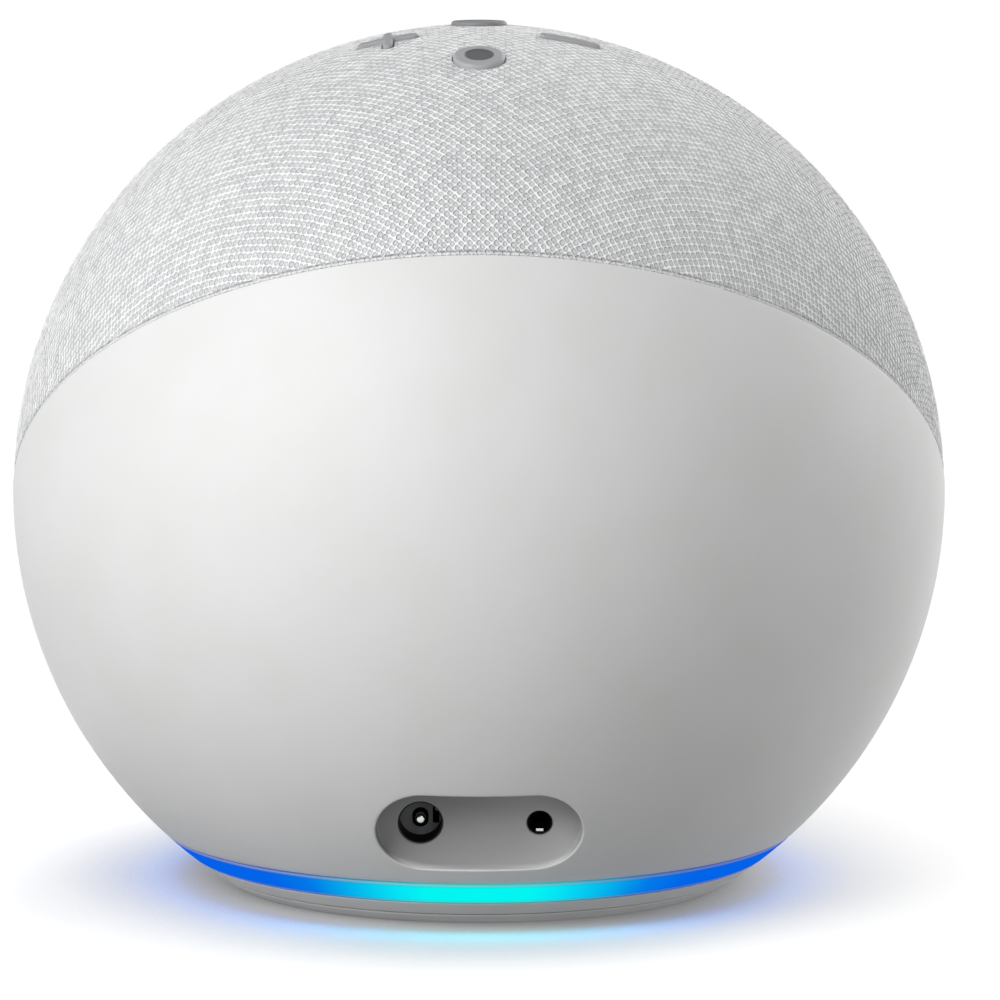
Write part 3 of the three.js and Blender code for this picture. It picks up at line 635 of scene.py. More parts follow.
def knit_fabric():
    """White threads in a diamond net, over cells of grey backing that vary a little."""
    finish = Finish("knit_fabric", 0.9, Sheen_Weight=0.15, Sheen_Roughness=0.5)
    spot = finish.node("ShaderNodeUVMap", uv_map=NET_MAP).outputs["UV"]
    across, along, _ = finish.split(spot)
    across, along = (
        finish.math("ADD", value, finish.mapped(finish.noise(size, 1), 0, 1, -NET_WANDER, NET_WANDER))
        for value, size in ((across, 1.6), (along, 1.3))
    )
    first = finish.math("ADD", across, along)
    second = finish.math("SUBTRACT", across, along)
    # 1 on a thread's middle and 0 in a cell's middle, for each of the two thread directions
    near = [finish.mapped(finish.math("PINGPONG", t, 0.5), 0, 0.5, 1, 0) for t in (first, second)]
    powers = [finish.math("POWER", value, 3.0) for value in near]
    from_middle = finish.math("POWER", finish.math("ADD", *powers), 1 / 3.0)

    cell = finish.node("ShaderNodeCombineXYZ")
    finish.set(cell, X=finish.math("FLOOR", first), Y=finish.math("FLOOR", second))
    chance = finish.node("ShaderNodeTexWhiteNoise", noise_dimensions="2D")
    finish.set(chance, Vector=cell.outputs["Vector"])
    uneven = finish.mapped(chance.outputs["Value"], 0, 1, -0.08, 0.08)
    fibres = finish.noise(0.12, 3)
    wander = finish.mapped(fibres, 0, 1, -0.125, 0.125)
    edge = finish.math("ADD", from_middle, finish.math("ADD", uneven, wander))

    # painted highlight in each cell's middle and painted shade on its rim
    colour = finish.ramp(edge, *THREAD_STOPS)
    patchy = finish.ramp(chance.outputs["Value"], (0, "dedede"), (1, "ffffff"))
    colour = finish.blend(0.5, colour, patchy, "MULTIPLY")
    over_split = finish.vector("DOT_PRODUCT", finish.place, SPLIT_NORMAL)
    seam = (SPLIT_NORMAL.dot(CENTRE) + FABRIC_EDGE) / MM
    from_seam = finish.math("SUBTRACT", over_split, seam)
    # painted shade: a dashed dark line along the fabric's seam
    off_seam_shade = finish.apart(from_seam, SEAM_SHADE_HEIGHT / MM)
    seam_shade_dashes = finish.mapped(finish.noise(0.7, 1), 0.35, 0.65, 0.35, 0.9)
    seam_shade = finish.math("MULTIPLY", finish.mapped(off_seam_shade, 0.1, 0.28, 1, 0), seam_shade_dashes)
    hem = finish.mapped(from_seam, 0.3, 0.5, 1, 0)
    colour = finish.blend(finish.math("MULTIPLY", hem, 0.8), colour, shade("e2e3e4"))
    # the painted seam shade's dark grey
    finish.colour(finish.blend(seam_shade, colour, shade("8e8f91")))
    thread = finish.mapped(from_middle, 0.66, 0.96, smooth=True)
    strands = finish.math("ADD", thread, finish.math("MULTIPLY", fibres, 0.25))
    finish.bump(strands, 0.16)
    finish.rough(finish.mapped(thread, 0, 1, 0.95, 0.8))
    return finish.name


RING_FADE = 0.7 * MM  # the light fades towards the ring's two edges
RING_STOPS = (  # from the ring's back to its sides, a quarter turn round
    (0.0, "03f6f0"),
    (0.11, "04f4f1"),
    (0.168, "06e2f4"),
    (0.33, "0392e8"),
    (0.37, "027ae9"),
    (0.47, "0266e9"),
    (1.0, "045bea"),
)


def glowing_ring():
    """A translucent ring lit from inside: cyan at the back, turning to blue each way round."""
    finish = Finish("light_diffuser", 0.3, Specular_IOR_Level=0.0)
    x, y, height = finish.split(finish.place)
    angle = finish.math("ARCTAN2", x, finish.math("MULTIPLY", y, -1))
    turn = finish.math("DIVIDE", finish.math("ABSOLUTE", angle), QUARTER_TURN)
    wander = finish.mapped(finish.noise(6), 0, 1, -0.01, 0.01)
    light = finish.ramp(finish.math("ADD", turn, wander), *RING_STOPS)
    top = finish.math("SUBTRACT", RING_TOP / MM, height)
    bottom = finish.math("SUBTRACT", height, RING_BOTTOM / MM)
    from_edge = finish.math("MINIMUM", top, bottom)
    lit = finish.mapped(from_edge, 0, RING_FADE / MM, 0.4, 1, smooth=True)
    finish.set(finish.shader, Emission_Color=light, Emission_Strength=lit)
    finish.colour(finish.ramp(lit, (0.4, "a8abac"), (0.85, "000000")))
    finish.bump(finish.noise(0.4), 0.003)
    return finish.name


# ---- pocket and its frame

POCKET_TILT = math.radians(9.5)  # the pocket's floor faces a little downwards
POCKET_OUT = Vector((0, -math.cos(POCKET_TILT), -math.sin(POCKET_TILT)))
POCKET_UP = Vector((0, -math.sin(POCKET_TILT), math.cos(POCKET_TILT)))
POCKET_RIGHT = Vector((1, 0, 0))
POCKET_WALL = 2 * MM  # the floor's thickness
POCKET_SIZE = (31.8 * MM, 14.88 * MM)
POCKET_RISE = 0.26 * MM  # the pocket's middle, above the sockets' axes
# painted shade inside the pocket, darkest at its left and lightest at its right
POCKET_PAINTED_SHADE = ((0, "8f8f90"), (0.5, "a6a6a7"), (1, "bebebf"))
RIM_ROUND = 0.4 * MM
FLOOR_ROUND = 0.5 * MM
HOUSING_MARGIN = 1.2 * MM
HOLE_LIP = 0.25 * MM

JACK_FRONT = -POCKET_WALL - GAP
JACK_AXIS_UP = middle("dc_jack_pin").dot(POCKET_UP)
FLOOR_OUT = reach("dc_jack_body", POCKET_OUT)[1] - JACK_FRONT
POCKET_ORIGIN = JACK_AXIS_UP * POCKET_UP + FLOOR_OUT * POCKET_OUT
POCKET_FRAME = Matrix.Translation(POCKET_ORIGIN) @ Matrix(
    (POCKET_RIGHT, POCKET_UP, POCKET_OUT)
).transposed().to_4x4()
DC_PLACE = Vector((middle("dc_jack_pin").x, 0))
AUDIO_PLACE = Vector((middle("audio_jack_contact").x, 0))
DC_HOLE_RADIUS = 3.475 * MM
AUDIO_HOLE_RADIUS = 2 * MM


def in_pocket(x, y, out):
    """A place in the sockets' own frame, as a place in the model."""
    return POCKET_FRAME @ Vector((x, y, out))


def pocket_spot(place):
    """A place's flat spot in the sockets' frame."""
    offset = place - POCKET_ORIGIN
    return Vector((offset.dot(POCKET_RIGHT), offset.dot(POCKET_UP)))


def height_over_floor(spot, radius):
    """How far the ball's surface lies in front of the pocket's floor, at a spot."""
    place = in_pocket(*spot, 0) - CENTRE
    slope = place.dot(POCKET_OUT)
    return -slope + math.sqrt(slope**2 - place.length_squared + radius**2)


# ---- rear shell

SHELL_COLUMNS = 360
SHELL_ROWS = 100
INNER_ROWS = 60
SHELL_EDGE_ROUND = 0.15 * MM
SHELL_FOOT_ROUND = 0.3 * MM
OUTSIDE_WINDOW = 1.9 * MM  # how far past the pocket the shell's own faces are cut away
INSIDE_WINDOW = 3.7 * MM
PATCH_REACH = 5 * MM
OUTSIDE_SPACING = 1.1 * MM  # between the points that close the shell round the pocket
INSIDE_SPACING = 3 * MM


def ball_place(radius, polar, angle):
    """A point on a ball, polar being its angle from straight down."""
    side = radius * math.sin(polar)
    return CENTRE + Vector((side * math.cos(angle), side * math.sin(angle), -radius * math.cos(polar)))


def polar_at_height(radius, height):
    return math.acos((CENTRE.z - height) / radius)


def polar_at_split(radius, offset, angle):
    """Where a ball meets the plane that lies offset above the split's centre plane."""
    across = SPLIT_NORMAL.y * math.sin(angle)
    slope = math.hypot(across, SPLIT_NORMAL.z)
    return math.atan2(SPLIT_NORMAL.z, across) + math.asin(offset / (radius * slope))


def shell_column(angle):
    """One upright section through the shell wall, once round it."""
    inner = BALL_RADIUS - SHELL_WALL
    low = polar_at_height(BALL_RADIUS, SHELL_BOTTOM + SHELL_FOOT_ROUND)
    high = polar_at_split(BALL_RADIUS, SHELL_EDGE - SHELL_EDGE_ROUND, angle)
    column = [ball_place(BALL_RADIUS, p, angle) for p in spread_evenly(low, high, SHELL_ROWS)]
    for turn in quarter(4):
        radius = BALL_RADIUS - SHELL_EDGE_ROUND * (1 - math.cos(turn))
        offset = SHELL_EDGE - SHELL_EDGE_ROUND * (1 - math.sin(turn))
        column.append(ball_place(radius, polar_at_split(radius, offset, angle), angle))
    high = polar_at_split(inner, SHELL_EDGE, angle)
    low = polar_at_height(inner, FLANGE_TOP)
    column.extend(ball_place(inner, p, angle) for p in spread_evenly(high, low, INNER_ROWS))
    foot_radius = radius_at(SHELL_BOTTOM) - SHELL_FOOT_ROUND
    column.append(turned_place(FLANGE_RADIUS, FLANGE_TOP, angle))
    column.append(turned_place(FLANGE_RADIUS, SHELL_BOTTOM, angle))
    column.append(turned_place(foot_radius, SHELL_BOTTOM, angle))
    edge = SHELL_FOOT_ROUND / 4
    outer_radius = radius_at(SHELL_BOTTOM + edge) - edge
    column.append(turned_place(outer_radius, SHELL_BOTTOM + edge, angle))
    return column


def open_window(shape, radius, outline, margin):
    """Removes the faces on one side of the shell round the pocket; returns the edges left."""
    tolerance = 0.01 * MM
    polygon = outline.grown(margin)
    reach_x = max(spot.x for spot in polygon)

    def on_side(point):
        return abs((point - CENTRE).length - radius) < tolerance

    def in_window(face):
        corners = [shape.points[i] for i in face]
        centre = sum(corners, Vector()) / len(face)
        if centre.y > 0 or abs(centre.x) > reach_x or not all(map(on_side, corners)):
            return False
        return inside(pocket_spot(centre), polygon)

    window = [face for face in shape.faces if in_window(face)]
    gone = set(window)
    shape.faces = [face for face in shape.faces if face not in gone]
    hole = Shape()
    hole.faces = window
    return walk(hole.open_edges())


def patch_ball(shape, chain, ring, ring_spots, radius, spacing):
    """Closes the ball's surface between a window's ragged edge and the pocket's outline."""
    chain_spots = [pocket_spot(shape.points[i]) for i in chain]

    def keep(spot):
        return inside(spot, chain_spots) and not inside(spot, ring_spots)

    def place(spot):
        return in_pocket(*spot, height_over_floor(spot, radius))

    size = [side / 2 + PATCH_REACH for side in POCKET_SIZE]
    scattered = [s for s in lattice(spacing, *size, (0, POCKET_RISE)) if keep(s)]
    fixed = chain_spots + ring_spots
    scattered = [s for s in scattered if min((s - f).length for f in fixed) > spacing / 2]
    shape.fill(*borders([(chain, chain_spots), (ring, ring_spots)]), scattered, place, keep)


def pocket_wall(shape, outline):
    """The pocket's rounded rim, side wall and rounded foot. Returns the outermost ring and
    the innermost one, each with its spots."""
    rings = []
    for t in spread_evenly(0, 1, 7):
        ring = []
        for spot, grown in zip(outline.places, outline.grown(RIM_ROUND)):
            surface = height_over_floor(spot, BALL_RADIUS)
            start = Vector((*grown, height_over_floor(grown, BALL_RADIUS)))
            end = Vector((*spot, max(surface - RIM_ROUND, FLOOR_ROUND)))
            ring.append(in_pocket(*bend(start, Vector((*spot, surface)), end, t)))
        rings.append(shape.ring(ring))
    heights = [(shape.points[i] - POCKET_ORIGIN).dot(POCKET_OUT) for i in rings[-1]]
    for share in spread_evenly(0, 1, 3)[1:]:
        rings.append(shape.ring([
            in_pocket(*spot, height + (FLOOR_ROUND - height) * share)
            for spot, height in zip(outline.places, heights)
        ]))
    for turn in quarter(5):
        spots = outline.grown(-FLOOR_ROUND * (1 - math.cos(turn)))
        out = FLOOR_ROUND * (1 - math.sin(turn))
        rings.append(shape.ring([in_pocket(*spot, out) for spot in spots]))
    shape.tube(rings)
    return (rings[0], outline.grown(RIM_ROUND)), (rings[-1], outline.grown(-FLOOR_ROUND))


def cut_pocket(shell):
    """Sinks the socket pocket into the shell, with its housing behind and its two holes."""
    inner = BALL_RADIUS - SHELL_WALL
    outline = bar_outline((0, POCKET_RISE), *POCKET_SIZE, steps=40, straight=30)
    outer_chain = open_window(shell, BALL_RADIUS, outline, OUTSIDE_WINDOW)
    inner_chain = open_window(shell, inner, outline, INSIDE_WINDOW)

    rim, floor_edge = pocket_wall(shell, outline)
    patch_ball(shell, outer_chain, *rim, BALL_RADIUS, OUTSIDE_SPACING)

    housing = outline.grown(HOUSING_MARGIN)
    back = shell.ring([in_pocket(*spot, -POCKET_WALL) for spot in housing])
    front = shell.ring(
        [in_pocket(*spot, max(height_over_floor(spot, inner), -POCKET_WALL)) for spot in housing]
    )
    shell.band(back, front)
    patch_ball(shell, inner_chain, front, housing, inner, INSIDE_SPACING)

    holes = (
        disc_outline(DC_PLACE, DC_HOLE_RADIUS, 96),
        disc_outline(AUDIO_PLACE, AUDIO_HOLE_RADIUS, 72),
    )
    first = len(shell.points)
    tops, bottoms = zip(*(well(shell, hole, 0, -POCKET_WALL, HOLE_LIP) for hole in holes))
    shell.points[first:] = [POCKET_FRAME @ point for point in shell.points[first:]]
    fill_flat(shell, floor_edge, *tops)
    fill_flat(shell, (back, housing), *bottoms)


def shell_plastic():
    """Light satin plastic with a very fine grain, and painted shade inside the pocket, darkest at its left."""
    finish = Finish("shell_plastic", 0.46, Specular_IOR_Level=0.2)
    plain = finish.ramp(finish.noise(14, 3), (0.25, "dddddc"), (0.75, "e1e1e1"))
    from_centre = finish.vector("DISTANCE", finish.place, CENTRE / MM)
    ball = BALL_RADIUS / MM
    outside = finish.mapped(from_centre, ball - 1.2, ball - 0.2)
    x, _, _ = finish.split(finish.place)
    half = POCKET_SIZE[0] / 2 / MM
    # painted shade: the pocket's walls and floor go darker than the shell, most at the left
    sunk = finish.ramp(finish.mapped(x, -half, half), *POCKET_PAINTED_SHADE)
    finish.colour(finish.blend(outside, sunk, plain))
    grain = finish.noise(0.16, 2)
    finish.bump(grain, 0.006)
    finish.rough(finish.mapped(grain, 0.3, 0.7, 0.42, 0.5))
    return finish.name


def rear_shell():
    shell = Shape()
    columns = [shell_column(angle) for angle in round_angles(SHELL_COLUMNS)]
    rings = [shell.ring(row) for row in zip(*columns)]
    shell.tube(rings + rings[:1])
    cut_pocket(shell)
    make_piece("rear_shell_moulding", shell, shell_plastic(), "rear_shell")


rear_shell()

# ---- buttons' outlines

BUTTON_CLEARANCE = 0.12 * MM
BAR_WIDTH = 1.6 * MM
PLUS_CORNER = 0.55 * MM
BAR_LENGTH = 9.4 * MM
BUTTON_FLANGE = 1 * MM  # how far the flange under a cap goes past it, and how thick it is


def button_outlines():
    """Each button's outline seen from above, fine enough for its rounded edge."""
    outlines = {}
    for name in ("action_button", "microphone_off_button"):
        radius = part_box(name)[1].x - middle(name).x - BUTTON_FLANGE
        outlines[name] = disc_outline(middle(name).xy, radius, 96)
    plus, minus = middle("volume_up_button").xy, middle("volume_down_button").xy
    outlines["volume_up_button"] = plus_outline(plus, BAR_LENGTH, BAR_WIDTH, PLUS_CORNER)
    outlines["volume_down_button"] = bar_outline(minus, BAR_LENGTH, BAR_WIDTH)
    return outlines


OUTLINES = button_outlines()

# ---- fabric cover

SEAM_ROUND = 0.15 * MM  # how the fabric's edge turns in, at the seam
HOLE_ROUND = 0.2 * MM  # and round the buttons
NET_RELIEF = 0.14 * MM
NET_MARGIN = 1.0 * MM  # the relief stops this far inside the seam
HOLE_MARGIN = 0.7 * MM  # and this far outside the buttons' holes
NET_LEVEL = BALL_RADIUS - 0.1 * MM
EDGE_SPACING = 0.65 * MM
LINING_SPACING = 4 * MM


def spread(place):
    """A place's spot on the fabric laid out flat, from the dome's top along its surface."""
    direction = (place - CENTRE).normalized()
    tilt = direction.angle(SPLIT_NORMAL)
    flat = Vector((direction.dot(SPLIT_RIGHT), direction.dot(SPLIT_FRONT)))
    return flat.normalized() * tilt * BALL_RADIUS if flat.length else flat


def wrapped(spot, radius):
    """The place on a ball of a spot of the flat fabric."""
    tilt = spot.length / BALL_RADIUS
    side = spot.normalized()
    sideways = side.x * SPLIT_RIGHT + side.y * SPLIT_FRONT
    return CENTRE + radius * (math.cos(tilt) * SPLIT_NORMAL + math.sin(tilt) * sideways)


def on_ball(spot, radius):
    """The place on a ball above a spot seen from above."""
    return Vector((*spot, CENTRE.z + math.sqrt(radius**2 - spot.length_squared)))


def net_surface(shape, edge_reach, holes):
    """The knit's outside as a real relief: raised where threads cross, sunk in the cells.

    Returns the ragged edges that bound it and a test for the flat places it covers."""
    half_width, half_length = NET_WIDTH / 2, NET_LENGTH / 2
    columns = math.ceil(edge_reach / half_width)
    rows = math.ceil(edge_reach / half_length)
    places = {}

    def usable(spot):
        if spot.length > edge_reach - NET_MARGIN:
            return False
        return not any(
            (spot - centre).length < size and inside(spot, polygon) for centre, size, polygon in holes
        )

    for i in range(-columns, columns + 1):
        for j in range(-rows, rows + 1):
            spot = Vector((i * half_width, j * half_length))
            if usable(spot):
                sunk = (i + j) % 2
                places[i, j] = wrapped(spot, NET_LEVEL - NET_RELIEF * sunk)
    numbers = dict(zip(places, shape.ring(places.values())))
    covered = set()
    first_face = len(shape.faces)
    for i, j in numbers:
        corners = [(i, j), (i + 1, j), (i + 1, j + 1), (i, j + 1)]
        if any(corner not in numbers for corner in corners):
            continue
        covered.add((i, j))
        a, b, c, d = (numbers[corner] for corner in corners)
        shape.faces.extend([(a, b, c), (a, c, d)] if (i + j) % 2 == 0 else [(a, b, d), (b, c, d)])

    def covers(spot):
        return (math.floor(spot.x / half_width), math.floor(spot.y / half_length)) in covered

    return shape.open_edges(first_face), covers


def turned_edge(shape, size, places_at):
    """Rings that carry an edge of the fabric round and down to its inside. Returns the first
    and the last."""
    rings = [shape.ring(places_at(0, NET_LEVEL))]
    for turn in quarter(4):
        depth = size * (1 - math.cos(turn))
        rings.append(shape.ring(places_at(math.sin(turn), NET_LEVEL - depth)))
    rings.append(shape.ring(places_at(1, BALL_RADIUS - FABRIC_THICKNESS)))
    shape.tube(rings)
    return rings[0], rings[-1]


def fabric_cover():
    fabric = Shape()
    edge_tilt = math.acos(FABRIC_EDGE / BALL_RADIUS)
    count = round(FULL_TURN * BALL_RADIUS / EDGE_SPACING)
    angles = round_angles(count)

    def seam_places(share, radius):
        length = (edge_tilt - SEAM_ROUND * (1 - share) / BALL_RADIUS) * BALL_RADIUS
        return [wrapped(length * Vector((math.cos(a), math.sin(a))), radius) for a in angles]

    seams = [turned_edge(fabric, SEAM_ROUND, seam_places)]
    for outline in OUTLINES.values():

        def hole_places(share, radius, outline=outline):
            margin = BUTTON_CLEARANCE + HOLE_ROUND * (1 - share)
            return [on_ball(spot, radius) for spot in outline.grown(margin)]

        seams.append(turned_edge(fabric, HOLE_ROUND, hole_places))

    def polygons(side):
        return [[spread(fabric.points[i]) for i in seam[side]] for seam in seams]

    outside, lining = polygons(0), polygons(1)
    holes = []
    for outline in OUTLINES.values():
        rim = outline.grown(BUTTON_CLEARANCE + HOLE_ROUND + HOLE_MARGIN)
        polygon = [spread(on_ball(spot, BALL_RADIUS)) for spot in rim]
        centre = sum(polygon, Vector((0, 0))) / len(polygon)
        holes.append((centre, max((p - centre).length for p in polygon), polygon))

    size = edge_tilt * BALL_RADIUS
    ragged, covers = net_surface(fabric, size, holes)

    def in_fabric(spot, limit, hole_polygons):
        return spot.length < limit and not any(inside(spot, p) for p in hole_polygons)

    def between_net_and_edges(spot):
        return not covers(spot) and in_fabric(spot, size - SEAM_ROUND, outside[1:])

    border = {i: spread(fabric.points[i]) for edge in ragged for i in edge}
    at_edges, edges = borders(zip((ring for ring, _ in seams), outside))
    fabric.fill({**border, **at_edges}, ragged + edges, [], None, between_net_and_edges)

    def in_lining(spot):
        return in_fabric(spot, size, lining[1:])

    def lining_place(spot):
        return wrapped(spot, BALL_RADIUS - FABRIC_THICKNESS)

    scattered = [
        s for s in lattice(LINING_SPACING, size, size)
        if s.length < size - LINING_SPACING / 2 and in_lining(s)
    ]
    border, edges = borders(zip((ring for _, ring in seams), lining))
    fabric.fill(border, edges, scattered, lining_place, in_lining)

    piece = make_piece("knit_cover", fabric, knit_fabric(), "fabric_cover")
    net = piece.data.uv_layers.new(name=NET_MAP)
    cells = [spread(vertex.co) for vertex in piece.data.vertices]
    for loop in piece.data.loops:
        spot = cells[loop.vertex_index]
        net.data[loop.index].uv = (spot.x / NET_WIDTH, spot.y / NET_LENGTH)


fabric_cover()

# ---- buttons

BUTTON_ROUND = 0.45 * MM
TOP_SPACING = 0.5 * MM
DOT_RADIUS = 2.3 * MM
DOT_DEPTH = 0.16 * MM
DOT_SLOPE = ((0, 0), (0.12 * MM, 0.6), (0.3 * MM, 1))  # inwards, and the share of the depth there
MARK_RADIUS = 2.1 * MM


def proud_of_ball():
    """How far the caps' tops stand above the ball."""
    places = (v.co for v in frame["nodes"]["microphone_off_button"].data.vertices)
    return max((place - CENTRE).length for place in places) - BALL_RADIUS


CAP_BALL = BALL_RADIUS + proud_of_ball()  # the larger ball that the caps' tops follow


def button_rubber(name, dark, light, mark=None):
    """Grey silicone; mark, given the finish, says where a darker print lies."""
    finish = Finish(name, 0.6)
    body = finish.ramp(finish.noise(3, 3), (0.3, dark), (0.7, light))
    if mark:
        body = finish.blend(mark(finish), body, shade("5f6062"))
    finish.colour(body)
    finish.bump(finish.noise(0.2, 2), 0.008)
    return finish.name


def flat_distance(finish, centre):
    """How far a point lies from an upright line through centre, in millimetres."""
    x, y, _ = finish.split(finish.place)
    flat = finish.node("ShaderNodeCombineXYZ")
    finish.set(flat, X=x, Y=y)
    return finish.vector("DISTANCE", flat.outputs["Vector"], (centre.x / MM, centre.y / MM, 0))


def dot_mark(finish):
    distance = flat_distance(finish, middle("action_button"))
    return finish.mapped(distance, DOT_RADIUS / MM - 0.02, DOT_RADIUS / MM + 0.06, 1, 0)


def barred_ring_mark(finish):
    """A plain ring with a slanting bar across it."""
    centre = middle("microphone_off_button")
    distance = flat_distance(finish, centre)
    radius = MARK_RADIUS / MM
    ring = finish.mapped(finish.apart(distance, radius), 0.2, 0.26, 1, 0)
    x, y, _ = finish.split(finish.place)
    right = finish.math("SUBTRACT", x, centre.x / MM)
    front = finish.math("SUBTRACT", y, centre.y / MM)
    bar = finish.mapped(finish.apart(right, front), 0.28, 0.36, 1, 0)
    near = finish.mapped(distance, radius, radius + 0.1, 1, 0)
    return finish.math("MAXIMUM", ring, finish.math("MULTIPLY", bar, near))


def button(name, finish, dished=False):
    """A cap with a rounded edge over a wide flange; a dished one has a sunken round middle."""
    outline = OUTLINES[name]
    low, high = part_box(name)
    centre = middle(name).xy
    flange_top = low.z + BUTTON_FLANGE
    flange_radius = (high.x - low.x) / 2
    if name.startswith("volume"):
        flange_radius = BAR_LENGTH / 2 + BUTTON_FLANGE
    cap = Shape()

    def on_top(spot, drop=0.0):
        return on_ball(spot, CAP_BALL) - drop * UP

    flange = disc_outline(centre, flange_radius, 72).places
    bottom = cap.ring(level(flange, low.z))
    shoulder = cap.ring(level(flange, flange_top))
    cap.band(bottom, shoulder)
    rings = [cap.ring(level(outline.places, flange_top))]
    fill_flat(cap, (shoulder, flange), (rings[0], outline.places))
    fill_flat(cap, (bottom, flange))
    for turn in spread_evenly(0, QUARTER_TURN, 5):
        spots = outline.grown(-BUTTON_ROUND * (1 - math.cos(turn)))
        drop = BUTTON_ROUND * (1 - math.sin(turn))
        rings.append(cap.ring([on_top(spot, drop) for spot in spots]))
    if dished:
        for inset, share in DOT_SLOPE:
            drop = DOT_DEPTH * share
            spots = disc_outline(centre, DOT_RADIUS - inset, len(outline.places)).places
            rings.append(cap.ring([on_top(spot, drop) for spot in spots]))
    cap.tube(rings)
    size = max((spot - centre).length for spot in spots)
    inner = [s for s in lattice(TOP_SPACING, size, size, centre) if inside(s, spots)]
    cap.fill(
        *borders([(rings[-1], spots)]), inner,
        lambda spot: on_top(spot, drop), lambda spot: inside(spot, spots),
    )
    make_piece(name + "_cap", cap, finish, name, body=name)


def buttons():
    rubber = button_rubber("button_rubber", "97989a", "9e9fa1")
    dotted = button_rubber("button_rubber_dotted", "a0a1a3", "a7a8aa", dot_mark)
    barred = button_rubber("button_rubber_barred", "7e7f81", "858688", barred_ring_mark)
    button("action_button", dotted, dished=True)
    button("microphone_off_button", barred)
    button("volume_up_button", rubber)
    button("volume_down_button", rubber)


buttons()

# ---- light ring, base, foot

LATHE_SEGMENTS = 256
PARTING = 0.12 * MM  # the drawn lines above and below the base are finer than the frame's gaps
RING_EDGE = 0.3 * MM
BASE_EDGE = 0.15 * MM
FOOT_EDGE = 0.4 * MM
RING_INNER_RADIUS = 43.9 * MM
FOOT_INNER_RADIUS = 31 * MM
HUB_RADIUS = 6 * MM
HUB_WALL_RADIUS = 8.5 * MM
HUB_TOP = 8.5 * MM
PLATE_TOP = 3 * MM
PLATE_RIM_RADIUS = 28.6 * MM
SCREW_CIRCLE = 24 * MM
SCREW_ANGLES = [QUARTER_TURN + FULL_TURN * k / 3 for k in range(3)]
SCREW_HEAD_ROOM = 2.9 * MM
SCREW_HOLE_RADIUS = 1.7 * MM
BOSS_RADIUS = 4.2 * MM
BOSS_TOP = 4.6 * MM
BOSS_FOOT = 3.01 * MM  # the bosses meet the plate a hair above its top


def turned_piece(name, profile, finish, node):
    shape = Shape()
    lathe(shape, profile, LATHE_SEGMENTS)
    make_piece(name, shape, finish, node)


def light_ring():
    profile = [
        (RING_INNER_RADIUS, RING_BOTTOM),
        *ball_band(RING_BOTTOM, RING_TOP, RING_EDGE, 8),
        (RING_INNER_RADIUS, RING_TOP),
    ]
    turned_piece("light_ring_lens", profile, glowing_ring(), "light_ring")


def base_plate():
    """The grey base: a sloping outside, a recess below and a hub for the camera thread."""
    top = RING_BOTTOM - PARTING
    parting = FOOT_TOP + PARTING
    plate = Shape()
    outside = [
        (FOOT_INNER_RADIUS - GAP, BASE_BOTTOM),
        (FOOT_INNER_RADIUS - GAP, parting),
        *ball_band(parting, top, BASE_EDGE, 5),
        (PLATE_RIM_RADIUS, top),
        (PLATE_RIM_RADIUS, PLATE_TOP),
    ]
    rim = lathe(plate, outside, LATHE_SEGMENTS, closed=False)
    hub = [
        (HUB_WALL_RADIUS, PLATE_TOP),
        (HUB_WALL_RADIUS, HUB_TOP),
        (HUB_RADIUS, HUB_TOP),
        (HUB_RADIUS, BASE_BOTTOM),
    ]
    core = lathe(plate, hub, 96, closed=False)

    heads, bosses = [], []
    for angle in SCREW_ANGLES:
        centre = turned_place(SCREW_CIRCLE, 0, angle).xy
        path = [
            (SCREW_HEAD_ROOM, BASE_BOTTOM),
            (SCREW_HEAD_ROOM, PLATE_TOP),
            (SCREW_HOLE_RADIUS, PLATE_TOP),
            (SCREW_HOLE_RADIUS, BOSS_TOP),
            (BOSS_RADIUS, BOSS_TOP),
            (BOSS_RADIUS, BOSS_FOOT),
        ]
        rings = lathe(plate, path, 48, centre, closed=False)
        heads.append(plate.seen_from_above(rings[0]))
        bosses.append(plate.seen_from_above(rings[-1]))
    fill_flat(plate, plate.seen_from_above(rim[0]), plate.seen_from_above(core[-1]), *heads)
    fill_flat(plate, plate.seen_from_above(rim[-1]), plate.seen_from_above(core[0]), *bosses)
    plastic = moulded("base_plastic", "dcdddf", "e2e3e4", 0.5, grain=0.2)
    make_piece("base_moulding", plate, plastic, "base_plate")


def rubber_foot():
    upper_edge = FOOT_EDGE / 2
    profile = [
        (FOOT_INNER_RADIUS, 0, 1),
        (radius_at(0) - FOOT_EDGE, 0, 1),
        *ball_arc(FOOT_EDGE, FOOT_TOP - upper_edge, 4),
        (radius_at(FOOT_TOP) - upper_edge, FOOT_TOP),
        (FOOT_INNER_RADIUS, FOOT_TOP, 1),
    ]
    rubber = moulded("foot_rubber", "cfd0d1", "d6d7d8", 0.75, grain=0.3, depth=0.02)
    turned_piece("foot_ring", rounded(profile, FOOT_EDGE), rubber, "rubber_foot")


THREAD_PITCH = 1.27 * MM
THREAD_DEPTH = 0.6 * MM
THREAD_RADIUS = 3.175 * MM
THREAD_STEPS = 80
INSERT_RADIUS = 5.7 * MM
INSERT_FLOOR = 1.2 * MM
INSERT_CHAMFER = 0.3 * MM
MOUTH_CHAMFER = 0.5 * MM


